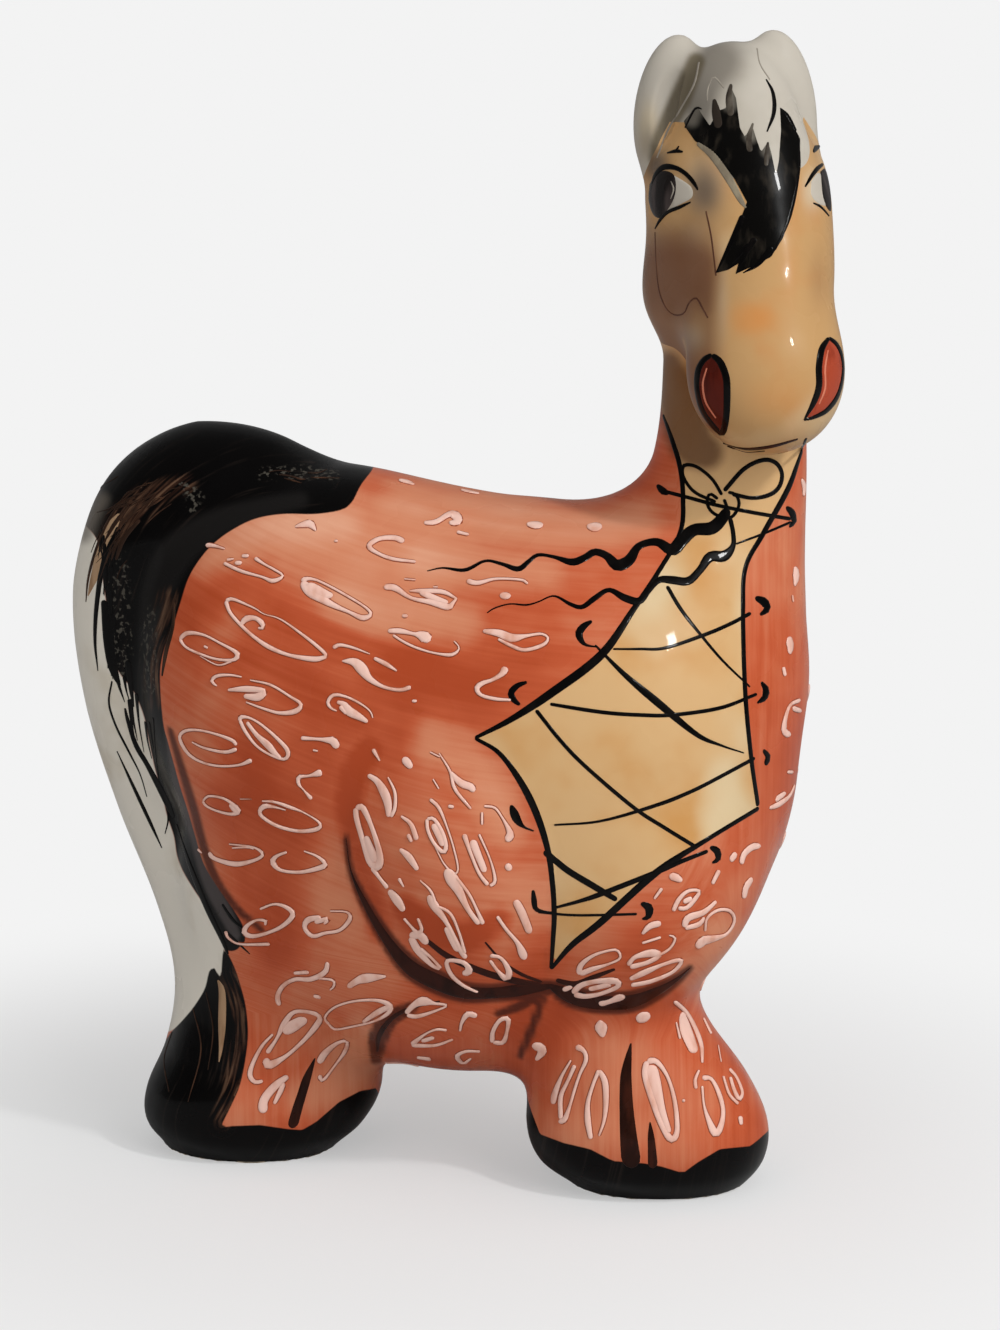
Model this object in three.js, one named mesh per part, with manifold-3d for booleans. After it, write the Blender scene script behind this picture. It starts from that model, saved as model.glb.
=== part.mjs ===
// Ceramic horse ornament: hollow slip castings luted together, glazed and standing on two fused leg pairs.
// Millimetres. X runs right and Y away as the horse is seen from its laced chest, Z is up from the table.
// The body lies from back left to front right, while the chest, the neck and the face turn to the front.
import * as THREE from "three";
import { mergeVertices } from "three/addons/utils/BufferGeometryUtils.js";
import Module from "manifold-3d";

const wasm = await Module();
wasm.setup();

// Clay
const WALL = 4.5; // thickness of every casting's wall
const SOLE = 5; // thickness of the clay under each pair of feet
const SEAM = 0.3; // gap left between two luted pieces
const DRAIN = 14; // bore of the hole in each sole
const THROAT = 20; // bore between the neck and the head

// Body: an egg with its long side turned towards the back left
const BODY_AT = [4.5, 3, 90.5];
const BODY_LENGTH = 132;
const BODY_DEPTH = 92;
const BODY_HEIGHT = 130;
const BODY_YAW = -16;
const BODY_FILLET = 18; // between the body, the rump and the chest

// Rump, chest and belly: eggs sunk in the body, each placed from the body's middle
const RUMP_FROM_BODY = [-36.5, 11, 23.5];
const RUMP_WIDTH = 85;
const RUMP_DEPTH = 76;
const RUMP_HEIGHT = 95;
const RUMP_LEAN = -12;
const CHEST_FROM_BODY = [32.5, -7, 13];
const CHEST_WIDTH = 75;
const CHEST_DEPTH = 74;
const CHEST_HEIGHT = 91;
const BELLY_FROM_BODY = [-6.5, -1, -31.5];
const BELLY_WIDTH = 88;
const BELLY_DEPTH = 64;
const BELLY_HEIGHT = 64;
const BELLY_FILLET = 16;

// The two shoulder lobes under the chest
const RIGHT_LOBE_FROM_BODY = [-2, -24, -8.5];
const RIGHT_LOBE_WIDTH = 55;
const RIGHT_LOBE_HEIGHT = 71;
const RIGHT_LOBE_LEAN = -18;
const LEFT_LOBE_FROM_BODY = [33, -23, -14];
const LEFT_LOBE_WIDTH = 59;
const LEFT_LOBE_HEIGHT = 68;
const LEFT_LOBE_LEAN = 20;
const LOBE_DEPTH = 54;
const LOBE_FILLET = 5; // narrow, so that a crease stays round each lobe

// Leg pairs: bell shaped columns on the table. A station is height, X, Y, half width and half depth.
const LEG_POWER = 2.2; // a little squarer in section than an oval
const COLUMN_ROUNDING = 8; // at the ends of the leg and neck columns, inside the body and the head
const FORE_FEET_AT = [43, -12, 0];
const FORE_FEET_TOP = 66;
const FORE_FILLET = 10;
const FORE_STATIONS = [
  [-10, 0, 0, 10, 9],
  [0, 2, 0, 20, 16.5],
  [6, 0.5, 0, 26, 21.5],
  [14, -0.5, 0, 27.5, 23.5],
  [24, -2, 0.5, 24.5, 22],
  [36, -6.5, 1, 20.5, 20],
  [48, -9.5, 2, 18, 19],
  [62, -9, 4, 20.5, 20],
];
const HIND_FEET_AT = [-46, 14, 0];
const HIND_FEET_TOP = 72;
const HIND_FILLET = 14;
const HIND_STATIONS = [
  [-10, 1, 0, 10, 9],
  [0, -2.5, 0, 19, 17],
  [6, -2.5, 0, 25.5, 21.5],
  [14, -0.5, 0, 27.5, 23.5],
  [24, 1, 0, 24, 22.5],
  [36, 4, 0, 23, 22],
  [48, 4.5, 0, 22.5, 22],
  [62, 4.5, 0, 23.5, 24],
];

// Tail: a raised band from the top of the rump down to the hind feet, placed from the body's middle
const TAIL_FROM_BODY = [-77.5, 20, 49.5];
const TAIL_END = 6; // its lower end above the table
const TAIL_ROUNDING = 34;
const TAIL_STATIONS = [
  [-136, 13, -5, 10.5, 14],
  [-120, 14.5, -4, 9.5, 16],
  [-102, 15.5, -1, 10, 15.5],
  [-84, 12.5, 1, 11.5, 15],
  [-60, 5.5, 2, 13.5, 17],
  [-35, 0, 2, 15, 19],
  [-10, 0, 1, 17, 20],
  [10, 5.5, 0, 18, 21],
  [26, 12.5, -1, 20, 20],
];
const DOCK_FROM_BODY = [-56.5, 17, 53.5];
const DOCK_WIDTH = 60;
const DOCK_DEPTH = 44;
const DOCK_HEIGHT = 49;
const DOCK_LEAN = 8;
const DOCK_FILLET = 10;

// Neck: an upright column that widens into the chest, placed from the body's middle
const NECK_FROM_BODY = [56.5, -3, 99.5];
const NECK_FOOT = -104; // where its widening ends inside the chest
const NECK_TOP = 34; // where it ends inside the head
const NECK_FILLET = 14;
const NECK_STATIONS = [
  [-106, -22.5, 0, 13, 12],
  [-80, -14.5, 0, 26.5, 24],
  [-60, -8.5, 0, 24.5, 23],
  [-40, -4, 0, 20.5, 19],
  [-24, -0.5, 0, 17, 17],
  [0, 0, 0.5, 15.5, 16.5],
  [25, 0, 1, 15.5, 16],
];

// Head: skull, jaw, bridge of the nose and muzzle, placed from the neck's upper station
const SKULL_FROM_NECK = [-0.5, -1, 32];
const SKULL_SIZE = [39, 40, 46];
const JAW_FROM_SKULL = [-1, -1, -19.5];
const JAW_SIZE = [38, 38, 34];
const BRIDGE_FROM_SKULL = [5.5, -15, -14.5];
const BRIDGE_SIZE = [29, 28, 66];
const MUZZLE_FROM_SKULL = [5.5, -25, -37];
const MUZZLE_SIZE = [33, 30, 33];
const HEAD_YAW = 12;
const SKULL_NOD = -14;
const JAW_NOD = -10;
const BRIDGE_NOD = -24;
const MUZZLE_NOD = -22;
const JAW_FILLET = 8;
const BRIDGE_FILLET = 12;
const MUZZLE_FILLET = 10;

// Hair on the head: a crown between the ears, a flat lock on the brow, and a mane down the nape
const CROWN_FROM_SKULL = [-0.5, 0, 19];
const CROWN_SIZE = [27, 26, 30];
const LOCK_FROM_SKULL = [4, -14, 8];
const LOCK_SIZE = [23, 14, 42];
const LOCK_FILLET = 6;
const MANE_FROM_SKULL = [-1, 15, -13];
const MANE_SIZE = [13, 17, 78];
const MANE_NOD = 3;

// Ears: upright leaves with a shallow hollow in front
const RIGHT_EAR_FROM_SKULL = [-14, 1, 19];
const RIGHT_EAR_SIZE = [16, 12, 33];
const RIGHT_EAR_LEAN = 7;
const LEFT_EAR_FROM_SKULL = [9.5, 1, 18];
const LEFT_EAR_SIZE = [17, 12, 37];
const LEFT_EAR_LEAN = -5;
const EAR_HOLLOW = 2.2; // how deep the hollow is
const EAR_HOLLOW_SHARE = [0.55, 0.6]; // its share of the ear's width and height
const EAR_ROUNDING = 1;

// Seams: planes that part the castings. Each has a point and the tilt of the plane towards +X.
const NECK_SEAM_FROM_BODY = [41, 0, 70.5];
const NECK_SEAM_TILT = 20;
const FORE_SEAM_FROM_FEET = [-8, 0, 34];
const FORE_SEAM_TILT = -30;
const HIND_SEAM_FROM_FEET = [4, 0, 35];
const HIND_SEAM_TILT = 29;

// Fineness of the faces
const BODY_CUBE = 7;
const NECK_CUBE = 5;
const HEAD_CUBE = 4.5;
const HAIR_CUBE = 3.6;
const TAIL_CUBE = 6;
const INNER_CUBE = 10;
const SPACE = 500; // side of the blocks that cut along a seam

const radians = THREE.MathUtils.degToRad;
const from = (base, offset) => base.map((value, i) => value + offset[i]);

// Distance fields: each takes a point and gives how far it lies outside the shape, negative inside.

// An egg with its whole widths along its own axes, nodded about X, leant about Y, then turned about Z
function egg(at, size, [yaw, lean, nod] = [0, 0, 0]) {
  const half = size.map((width) => width / 2);
  const place = new THREE.Matrix4()
    .makeRotationFromEuler(new THREE.Euler(radians(nod), radians(lean), radians(yaw), "ZYX"))
    .setPosition(...at)
    .invert();
  const q = new THREE.Vector3();
  return (p) => {
    q.copy(p).applyMatrix4(place);
    const k0 = Math.hypot(q.x / half[0], q.y / half[1], q.z / half[2]);
    const k1 = Math.hypot(q.x / half[0] ** 2, q.y / half[1] ** 2, q.z / half[2] ** 2);
    return (k0 * (k0 - 1)) / Math.max(k1, 1e-9);
  };
}

// Smooth curve through the stations: one column of the table at a height
function between(stations, column, height) {
  const last = stations.length - 1;
  const z = Math.min(Math.max(height, stations[0][0]), stations[last][0]);
  let i = 0;
  while (i < last - 1 && stations[i + 1][0] <= z) i += 1;
  const slope = (n) => {
    const a = stations[Math.max(n - 1, 0)];
    const b = stations[Math.min(n + 1, last)];
    return (b[column] - a[column]) / (b[0] - a[0]);
  };
  const rise = stations[i + 1][0] - stations[i][0];
  const t = (z - stations[i][0]) / rise;
  const start = (2 * t ** 3 - 3 * t ** 2 + 1) * stations[i][column];
  const leave = (t ** 3 - 2 * t ** 2 + t) * rise * slope(i);
  const end = (3 * t ** 2 - 2 * t ** 3) * stations[i + 1][column];
  const arrive = (t ** 3 - t ** 2) * rise * slope(i + 1);
  return start + leave + end + arrive;
}

// An upright column through stations; a power over 2 makes its section squarer
function column(at, stations, power) {
  return (p) => {
    const [x, y, halfX, halfY] = [1, 2, 3, 4].map((n) => between(stations, n, p.z - at[2]));
    const k = Math.hypot(
      (Math.abs(p.x - at[0] - x) / halfX) ** (power / 2),
      (Math.abs(p.y - at[1] - y) / halfY) ** (power / 2),
    ) ** (2 / power);
    return (k - 1) * Math.min(halfX, halfY) * 0.9;
  };
}

const level = (height) => (p) => p.z - height;
const turned = (field) => (p) => -field(p);
const offset = (field, distance) => (p) => field(p) - distance;

// Two shapes joined with a fillet, and the part common to two shapes with its edge rounded
function join(a, b, fillet) {
  return (p) => {
    const u = a(p);
    const v = b(p);
    const h = Math.max(fillet - Math.abs(u - v), 0) / fillet;
    return Math.min(u, v) - (h * h * fillet) / 4;
  };
}
const common = (a, b, rounding) => turned(join(turned(a), turned(b), rounding));

// A point drawn along the field's slope onto the surface, in short moves
function drawn(point, field, most) {
  const gap = 0.2;
  const slope = new THREE.Vector3();
  for (let round = 0; round < 4; round += 1) {
    const here = field(point);
    for (const axis of ["x", "y", "z"]) {
      const beside = point.clone();
      beside[axis] += gap;
      slope[axis] = (field(beside) - here) / gap;
    }
    const move = here / Math.max(slope.lengthSq(), 0.1);
    point.addScaledVector(slope, -THREE.MathUtils.clamp(move, -most, most));
  }
  return point;
}

// The corners of a room that is wider than the horse on every side
function room() {
  const left = tailAt[0] - DOCK_WIDTH / 2 - BODY_CUBE;
  const front = BODY_AT[1] + RIGHT_LOBE_FROM_BODY[1] - LOBE_DEPTH;
  const bottom = FORE_STATIONS[0][0] - 2 * BODY_CUBE;
  const right = skullAt[0] + SKULL_SIZE[0] * 1.2;
  const back = BODY_AT[1] + BODY_DEPTH * 0.8;
  const top = skullAt[2] + LEFT_EAR_FROM_SKULL[2] + LEFT_EAR_SIZE[2];
  return { low: [left, front, bottom], high: [right, back, top] };
}

// The closed surface of a field as a solid. Space is cut into cubes. Each group of inner corners in a cube
// that the surface crosses gets one point, drawn onto the surface, and each cube edge that the surface
// crosses gets one four sided face between the points of the cubes round it.
function skin(field, cube, low = room().low) {
  const { high } = room();
  const [nx, ny, nz] = low.map((start, i) => Math.ceil((high[i] - start) / cube) + 1);
  const step = [1, nx, nx * ny];
  const value = new Float32Array(nx * ny * nz);
  const owner = new Int32Array(8 * value.length);
  const points = [];
  const faces = [];
  const each = (first, use) => {
    for (let k = first; k < nz - 1; k += 1) {
      for (let j = first; j < ny - 1; j += 1) {
        for (let i = first; i < nx - 1; i += 1) use(i, j, k, i + nx * j + nx * ny * k);
      }
    }
  };
  const corner = new THREE.Vector3(...low);
  const place = (i, j, k) => new THREE.Vector3(i, j, k).multiplyScalar(cube).add(corner);
  const cornerAt = (i, j, k, c) => place(i + (c & 1), j + ((c >> 1) & 1), k + (c >> 2));
  const valueAt = (n, c) => value[n + (c & 1) + ((c >> 1) & 1) * step[1] + (c >> 2) * step[2]];
  each(0, (i, j, k, n) => {
    const edge = Math.min(i, j, k) < 2 || i > nx - 3 || j > ny - 3 || k > nz - 3;
    value[n] = edge ? cube : field(place(i, j, k)) || 1e-6;
  });
  each(0, (i, j, k, n) => {
    if (i > nx - 3 || j > ny - 3 || k > nz - 3) return;
    const grouped = new Set();
    for (let first = 0; first < 8; first += 1) {
      if (grouped.has(first) || valueAt(n, first) >= 0) continue;
      const group = [first];
      const crossings = [];
      grouped.add(first);
      for (const c of group) {
        for (const bit of [1, 2, 4]) {
          const next = c ^ bit;
          const [u, v] = [valueAt(n, c), valueAt(n, next)];
          if (v < 0 && !grouped.has(next)) {
            grouped.add(next);
            group.push(next);
          }
          if (v < 0) continue;
          crossings.push(cornerAt(i, j, k, c).lerp(cornerAt(i, j, k, next), u / (u - v)));
        }
      }
      if (!crossings.length) continue;
      for (const c of group) owner[8 * n + c] = points.length;
      const middle = crossings.reduce((sum, q) => sum.add(q), new THREE.Vector3());
      points.push(drawn(middle.divideScalar(crossings.length), field, cube / 4));
    }
  });
  each(1, (i, j, k, n) => {
    for (let axis = 0; axis < 3; axis += 1) {
      const inside = value[n] < 0;
      if (inside === value[n + step[axis]] < 0) continue;
      const [u, v] = [(axis + 1) % 3, (axis + 2) % 3];
      const inner = inside ? 0 : 1 << axis;
      const around = [[0, 0], [1, 0], [1, 1], [0, 1]].map(
        ([s, t]) => owner[8 * (n - s * step[u] - t * step[v]) + (s << u) + (t << v) + inner],
      );
      if (!inside) around.reverse();
      const [a, b, c, d] = around;
      const short = points[a].distanceTo(points[c]) < points[b].distanceTo(points[d]);
      faces.push(...(short ? [a, b, c, a, c, d] : [a, b, d, b, c, d]));
    }
  });
  return new wasm.Manifold(
    new wasm.Mesh({
      numProp: 3,
      vertProperties: new Float32Array(points.flatMap((q) => q.toArray())),
      triVerts: new Uint32Array(faces),
    }),
  );
}

// A three.js geometry as a solid
function solid(geometry) {
  geometry.deleteAttribute("normal");
  geometry.deleteAttribute("uv");
  const merged = mergeVertices(geometry);
  return new wasm.Manifold(
    new wasm.Mesh({
      numProp: 3,
      vertProperties: merged.attributes.position.array,
      triVerts: new Uint32Array(merged.index.array),
    }),
  );
}

// The half of space over a seam plane through a point, tilted towards +X and raised by a distance
function over(at, tilt, raised = 0) {
  const block = new THREE.BoxGeometry(SPACE, SPACE, SPACE).translate(0, 0, SPACE / 2 + raised);
  return solid(block.rotateY(radians(tilt)).translate(...at));
}
const under = (at, tilt, raised = 0) => over(at, tilt + 180, raised);

// An upright bore
function bore([x, y, z], diameter, depth) {
  const cylinder = new THREE.CylinderGeometry(diameter / 2, diameter / 2, depth, 24);
  return solid(cylinder.rotateX(Math.PI / 2).translate(x, y, z + depth / 2));
}

const biggest = (pieces) => pieces.sort((a, b) => b.volume() - a.volume())[0];

// The fields of the form
const bodyEggs = [
  [RUMP_FROM_BODY, [RUMP_WIDTH, RUMP_DEPTH, RUMP_HEIGHT], RUMP_LEAN, BODY_FILLET],
  [CHEST_FROM_BODY, [CHEST_WIDTH, CHEST_DEPTH, CHEST_HEIGHT], 0, BODY_FILLET],
  [BELLY_FROM_BODY, [BELLY_WIDTH, BELLY_DEPTH, BELLY_HEIGHT], 0, BELLY_FILLET],
];
const body = bodyEggs.reduce(
  (whole, [place, size, lean, fillet]) =>
    join(whole, egg(from(BODY_AT, place), size, [0, lean, 0]), fillet),
  egg(BODY_AT, [BODY_LENGTH, BODY_DEPTH, BODY_HEIGHT], [BODY_YAW, 0, 0]),
);
const rightLobe = egg(
  from(BODY_AT, RIGHT_LOBE_FROM_BODY),
  [RIGHT_LOBE_WIDTH, LOBE_DEPTH, RIGHT_LOBE_HEIGHT],
  [0, RIGHT_LOBE_LEAN, 0],
);
const leftLobe = egg(
  from(BODY_AT, LEFT_LOBE_FROM_BODY),
  [LEFT_LOBE_WIDTH, LOBE_DEPTH, LEFT_LOBE_HEIGHT],
  [0, LEFT_LOBE_LEAN, 0],
);
const lobes = (p) => Math.min(rightLobe(p), leftLobe(p));
const below = (shape, height) => common(shape, level(height), COLUMN_ROUNDING);
const foreLegs = below(column(FORE_FEET_AT, FORE_STATIONS, LEG_POWER), FORE_FEET_TOP);
const hindLegs = below(column(HIND_FEET_AT, HIND_STATIONS, LEG_POWER), HIND_FEET_TOP);
const neckAt = from(BODY_AT, NECK_FROM_BODY);
const neckColumn = below(column(neckAt, NECK_STATIONS, 2), neckAt[2] + NECK_TOP);
const neck = common(neckColumn, turned(level(neckAt[2] + NECK_FOOT)), COLUMN_ROUNDING);
const castings = [
  [lobes, LOBE_FILLET],
  [hindLegs, HIND_FILLET],
  [foreLegs, FORE_FILLET],
  [neck, NECK_FILLET],
].reduce((whole, [shape, fillet]) => join(whole, shape, fillet), body);

const tailAt = from(BODY_AT, TAIL_FROM_BODY);
const tailTop = TAIL_STATIONS.at(-1)[0] + 2;
const tailBand = common(column(tailAt, TAIL_STATIONS, 2), level(tailAt[2] + tailTop), TAIL_ROUNDING);
const dock = egg(from(BODY_AT, DOCK_FROM_BODY), [DOCK_WIDTH, DOCK_DEPTH, DOCK_HEIGHT], [0, DOCK_LEAN, 0]);
const tail = join(tailBand, dock, DOCK_FILLET);

const skullAt = from(neckAt, SKULL_FROM_NECK);
const head = [
  [JAW_FROM_SKULL, JAW_SIZE, JAW_NOD, JAW_FILLET],
  [BRIDGE_FROM_SKULL, BRIDGE_SIZE, BRIDGE_NOD, BRIDGE_FILLET],
  [MUZZLE_FROM_SKULL, MUZZLE_SIZE, MUZZLE_NOD, MUZZLE_FILLET],
].reduce(
  (whole, [place, size, nod, fillet]) =>
    join(whole, egg(from(skullAt, place), size, [HEAD_YAW, 0, nod]), fillet),
  egg(skullAt, SKULL_SIZE, [HEAD_YAW, 0, SKULL_NOD]),
);
const crown = egg(from(skullAt, CROWN_FROM_SKULL), CROWN_SIZE);
const lock = egg(from(skullAt, LOCK_FROM_SKULL), LOCK_SIZE, [HEAD_YAW, 0, BRIDGE_NOD]);
const hair = join(crown, lock, LOCK_FILLET);
const mane = egg(from(skullAt, MANE_FROM_SKULL), MANE_SIZE, [0, 0, MANE_NOD]);

// An ear with its hollow scooped out of the front
function ear(place, size, lean) {
  const at = from(skullAt, place);
  const [width, height] = EAR_HOLLOW_SHARE;
  const scoopSize = [size[0] * width, EAR_HOLLOW * 2, size[2] * height];
  const scoop = egg(from(at, [0, -size[1] / 2, 0]), scoopSize, [0, lean, 0]);
  return common(egg(at, size, [0, lean, 0]), turned(scoop), EAR_ROUNDING);
}
const rightEar = ear(RIGHT_EAR_FROM_SKULL, RIGHT_EAR_SIZE, RIGHT_EAR_LEAN);
const leftEar = ear(LEFT_EAR_FROM_SKULL, LEFT_EAR_SIZE, LEFT_EAR_LEAN);

// The castings: one hollow form parted along the seams, with flat soles on the table
const table = [0, 0, 0];
const outside = skin(castings, BODY_CUBE).intersect(over(table, 0));
const hollow = skin(offset(castings, -WALL), INNER_CUBE).intersect(over(table, 0, SOLE));
const shell = outside.subtract(hollow);
const neckSeam = from(BODY_AT, NECK_SEAM_FROM_BODY);
const foreSeam = from(FORE_FEET_AT, FORE_SEAM_FROM_FEET);
const hindSeam = from(HIND_FEET_AT, HIND_SEAM_FROM_FEET);
const betweenLegs = [(foreSeam[0] + hindSeam[0]) / 2, 0, 0];
const foreRoom = under(foreSeam, FORE_SEAM_TILT).intersect(over(betweenLegs, 90));
const hindRoom = under(hindSeam, HIND_SEAM_TILT).intersect(over(betweenLegs, -90));
const foreClear = under(foreSeam, FORE_SEAM_TILT, -SEAM).intersect(over(betweenLegs, 90));
const hindClear = under(hindSeam, HIND_SEAM_TILT, -SEAM).intersect(over(betweenLegs, -90));
const foreDrain = bore(from(FORE_FEET_AT, [0, 0, -1]), DRAIN, SOLE + 2);
const hindDrain = bore(from(HIND_FEET_AT, [0, 0, -1]), DRAIN, SOLE + 2);

const headSkin = skin(head, HEAD_CUBE);
const headGrown = skin(offset(head, SEAM), HEAD_CUBE);
const hairGrown = skin(offset(hair, SEAM), HAIR_CUBE);
const castingsGrown = skin(offset(castings, SEAM), NECK_CUBE);
const neckRoom = [room().low[0], room().low[1], neckSeam[2] - 8 * NECK_CUBE];
const neckFine = skin(castings, NECK_CUBE, neckRoom);
const neckHollow = skin(offset(castings, -WALL), NECK_CUBE, neckRoom);
const headHollow = skin(offset(head, -WALL), HEAD_CUBE);
const throatAt = from(neckAt, [0, NECK_STATIONS.at(-2)[2], -THROAT / 2]);
const throat = bore(throatAt, THROAT, THROAT * 1.25);

const pieces = {
  torso: shell
    .intersect(under(neckSeam, NECK_SEAM_TILT))
    .subtract(foreClear)
    .subtract(hindClear),
  fore_leg_pair: shell.intersect(foreRoom).subtract(foreDrain),
  hind_leg_pair: shell.intersect(hindRoom).subtract(hindDrain),
  neck: neckFine
    .subtract(neckHollow)
    .intersect(over(neckSeam, NECK_SEAM_TILT, SEAM))
    .subtract(headGrown),
  head: headSkin.subtract(headHollow).subtract(throat),
  right_ear: skin(rightEar, HAIR_CUBE).subtract(headGrown).subtract(hairGrown),
  left_ear: skin(leftEar, HAIR_CUBE).subtract(headGrown).subtract(hairGrown),
  forelock: skin(hair, HAIR_CUBE).subtract(headGrown),
  mane: skin(mane, HAIR_CUBE).subtract(headGrown).subtract(hairGrown).subtract(castingsGrown),
  tail: skin(tail, TAIL_CUBE)
    .intersect(over(table, 0, TAIL_END))
    .subtract(castingsGrown),
};

const colours = {
  torso: 0xc4623f,
  fore_leg_pair: 0xc4623f,
  hind_leg_pair: 0xc4623f,
  neck: 0xd9935c,
  head: 0xdcb07a,
  right_ear: 0xdcd5cb,
  left_ear: 0xdcd5cb,
  forelock: 0x6b645c,
  mane: 0x6b645c,
  tail: 0x1c1917,
};

// Each piece as a mesh, with the origin under the middle of the whole horse
const figure = new THREE.Group();
for (const [name, made] of Object.entries(pieces)) {
  const mesh = biggest(made.decompose()).getMesh();
  const geometry = new THREE.BufferGeometry()
    .setAttribute("position", new THREE.BufferAttribute(mesh.vertProperties, 3))
    .setIndex(new THREE.BufferAttribute(mesh.triVerts, 1));
  geometry.computeVertexNormals();
  const glaze = { color: colours[name], roughness: 0.12, metalness: 0 };
  const piece = new THREE.Mesh(geometry, new THREE.MeshStandardMaterial(glaze));
  piece.name = name;
  figure.add(piece);
}
const middle = new THREE.Box3().setFromObject(figure).getCenter(new THREE.Vector3());
figure.position.set(-middle.x, -middle.y, 0);

const horse = new THREE.Group();
horse.add(figure);

export default horse;
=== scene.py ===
import math
import random

import bpy
import numpy as np
from mathutils import Matrix, Vector


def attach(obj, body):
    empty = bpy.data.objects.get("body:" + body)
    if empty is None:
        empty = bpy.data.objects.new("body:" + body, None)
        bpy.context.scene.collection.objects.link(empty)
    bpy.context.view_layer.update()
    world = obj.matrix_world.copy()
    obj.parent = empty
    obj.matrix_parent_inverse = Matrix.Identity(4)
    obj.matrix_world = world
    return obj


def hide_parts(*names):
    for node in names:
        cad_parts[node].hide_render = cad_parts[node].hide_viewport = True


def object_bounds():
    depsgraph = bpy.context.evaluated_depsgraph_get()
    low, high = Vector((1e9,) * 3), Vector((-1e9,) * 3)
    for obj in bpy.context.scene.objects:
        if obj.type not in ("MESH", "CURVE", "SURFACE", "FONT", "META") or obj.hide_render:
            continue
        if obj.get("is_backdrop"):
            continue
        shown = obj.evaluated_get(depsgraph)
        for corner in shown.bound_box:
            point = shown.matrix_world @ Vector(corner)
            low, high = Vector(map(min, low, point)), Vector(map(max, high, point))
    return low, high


# Looks of a plump glazed ceramic horse, hand painted and trailed with white enamel.
# The form is worked out in millimetres, with X right and Y away as the horse is seen from its laced chest.
# It is moved by SHIFT into the frame of the model, and every object is in metres.

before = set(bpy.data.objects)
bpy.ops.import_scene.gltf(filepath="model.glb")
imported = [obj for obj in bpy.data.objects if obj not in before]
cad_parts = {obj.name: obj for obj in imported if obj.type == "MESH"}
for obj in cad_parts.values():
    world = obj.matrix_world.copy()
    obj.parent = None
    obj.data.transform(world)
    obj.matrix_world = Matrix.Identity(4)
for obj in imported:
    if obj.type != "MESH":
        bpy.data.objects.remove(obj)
cad_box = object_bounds()

MM = 0.001
SHIFT = np.array([3.463, -3.096, 0.0])

# The photograph's camera
PICTURE = (1000, 1330)
TARGET = np.array([9.0, 0.0, 117.0])
DISTANCE = 800.0
ELEVATION = math.radians(11)
PIXEL = 0.2262  # millimetres that one pixel covers at the target
SENSOR = 36.0

# Fineness of the surface, in millimetres
BODY_CELL = 1.3
HEAD_CELL = 0.8
LOCK_CELL = 0.4
GAP = 0.05  # between the points that give a slope
STEP = 0.7  # between the sections of a brushed or trailed line
COARSE = 6  # fine cells along one side of a block that is tested first
BLOCK_REACH = 1.6  # sides of a block within which its middle counts as near the surface

# Thickness and depth, in millimetres
CLAY = 2.2  # of the modelled skin
LOCK_RISE, LOCK_PAINT = 0.06, 0.3  # of the black lock's paint, over the hair and altogether
SUNK = 0.12  # of the edge of a line or an area in the glaze
LINE_ROOT, AREA_ROOT = 0.5, 0.6  # of the points under the glaze that close a line or an area
LEAST_RISE, ENAMEL_RISE = 0.02, 0.34  # of a line over the glaze

AWAY = 99  # stands for the distance in a block that isn't near the surface
ENDLESS = 1e9  # farther than anything in the picture

rng = random.Random(7)


# The form, as distance fields: each takes points and gives how far they lie outside, negative inside

def turn_about(axis, degrees):
    return np.array(Matrix.Rotation(math.radians(degrees), 3, axis))


def egg(at, size, turn=(0, 0, 0)):
    """An egg with its whole widths along its own axes, nodded about X, leant about Y, turned about Z."""
    at = np.array(at, float)
    half = np.array(size, float) / 2
    yaw, lean, nod = turn
    spin = turn_about("Z", yaw) @ turn_about("Y", lean) @ turn_about("X", nod)

    def field(p):
        q = (p - at) @ spin
        # Nearly the distance: the scaled length over its slope
        k0 = np.sqrt(((q / half) ** 2).sum(1))
        k1 = np.sqrt(((q / half**2) ** 2).sum(1))
        return k0 * (k0 - 1) / np.maximum(k1, 1e-9)

    return field


def column(at, stations, power=2.0):
    """An upright column through stations of height, X, Y, half width and half depth."""
    rows = np.array(stations, float)
    ahead = np.vstack([rows[1:], rows[-1:]])
    behind = np.vstack([rows[:1], rows[:-1]])
    slopes = (ahead - behind) / (ahead[:, :1] - behind[:, :1])

    def field(p):
        # A cubic from station to station gives the middle and the half widths at each height
        z = np.clip(p[:, 2] - at[2], rows[0, 0], rows[-1, 0])
        i = np.clip(np.searchsorted(rows[:, 0], z, side="right") - 1, 0, len(rows) - 2)
        rise = (rows[i + 1, 0] - rows[i, 0])[:, None]
        t = (z - rows[i, 0])[:, None] / rise
        v = (2 * t**3 - 3 * t**2 + 1) * rows[i] + (t**3 - 2 * t**2 + t) * rise * slopes[i]
        v += (3 * t**2 - 2 * t**3) * rows[i + 1] + (t**3 - t**2) * rise * slopes[i + 1]
        x = np.abs((p[:, 0] - at[0] - v[:, 1]) / v[:, 3])
        y = np.abs((p[:, 1] - at[1] - v[:, 2]) / v[:, 4])
        k = (x**power + y**power) ** (1 / power)
        # A little under the distance, so that no search steps through the wall
        return (k - 1) * np.minimum(v[:, 3], v[:, 4]) * 0.9

    return field


def soft_least(a, b, fillet):
    h = np.maximum(fillet - np.abs(a - b), 0) / fillet
    return np.minimum(a, b) - h * h * fillet / 4


def joined(first, *others):
    """Shapes joined one after the other, each with its fillet."""

    def field(p):
        d = first(p)
        for shape, fillet in others:
            d = soft_least(d, shape(p), fillet)
        return d

    return field


def below(shape, height, rounding=8):
    return lambda p: -soft_least(-shape(p), height - p[:, 2], rounding)


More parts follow.
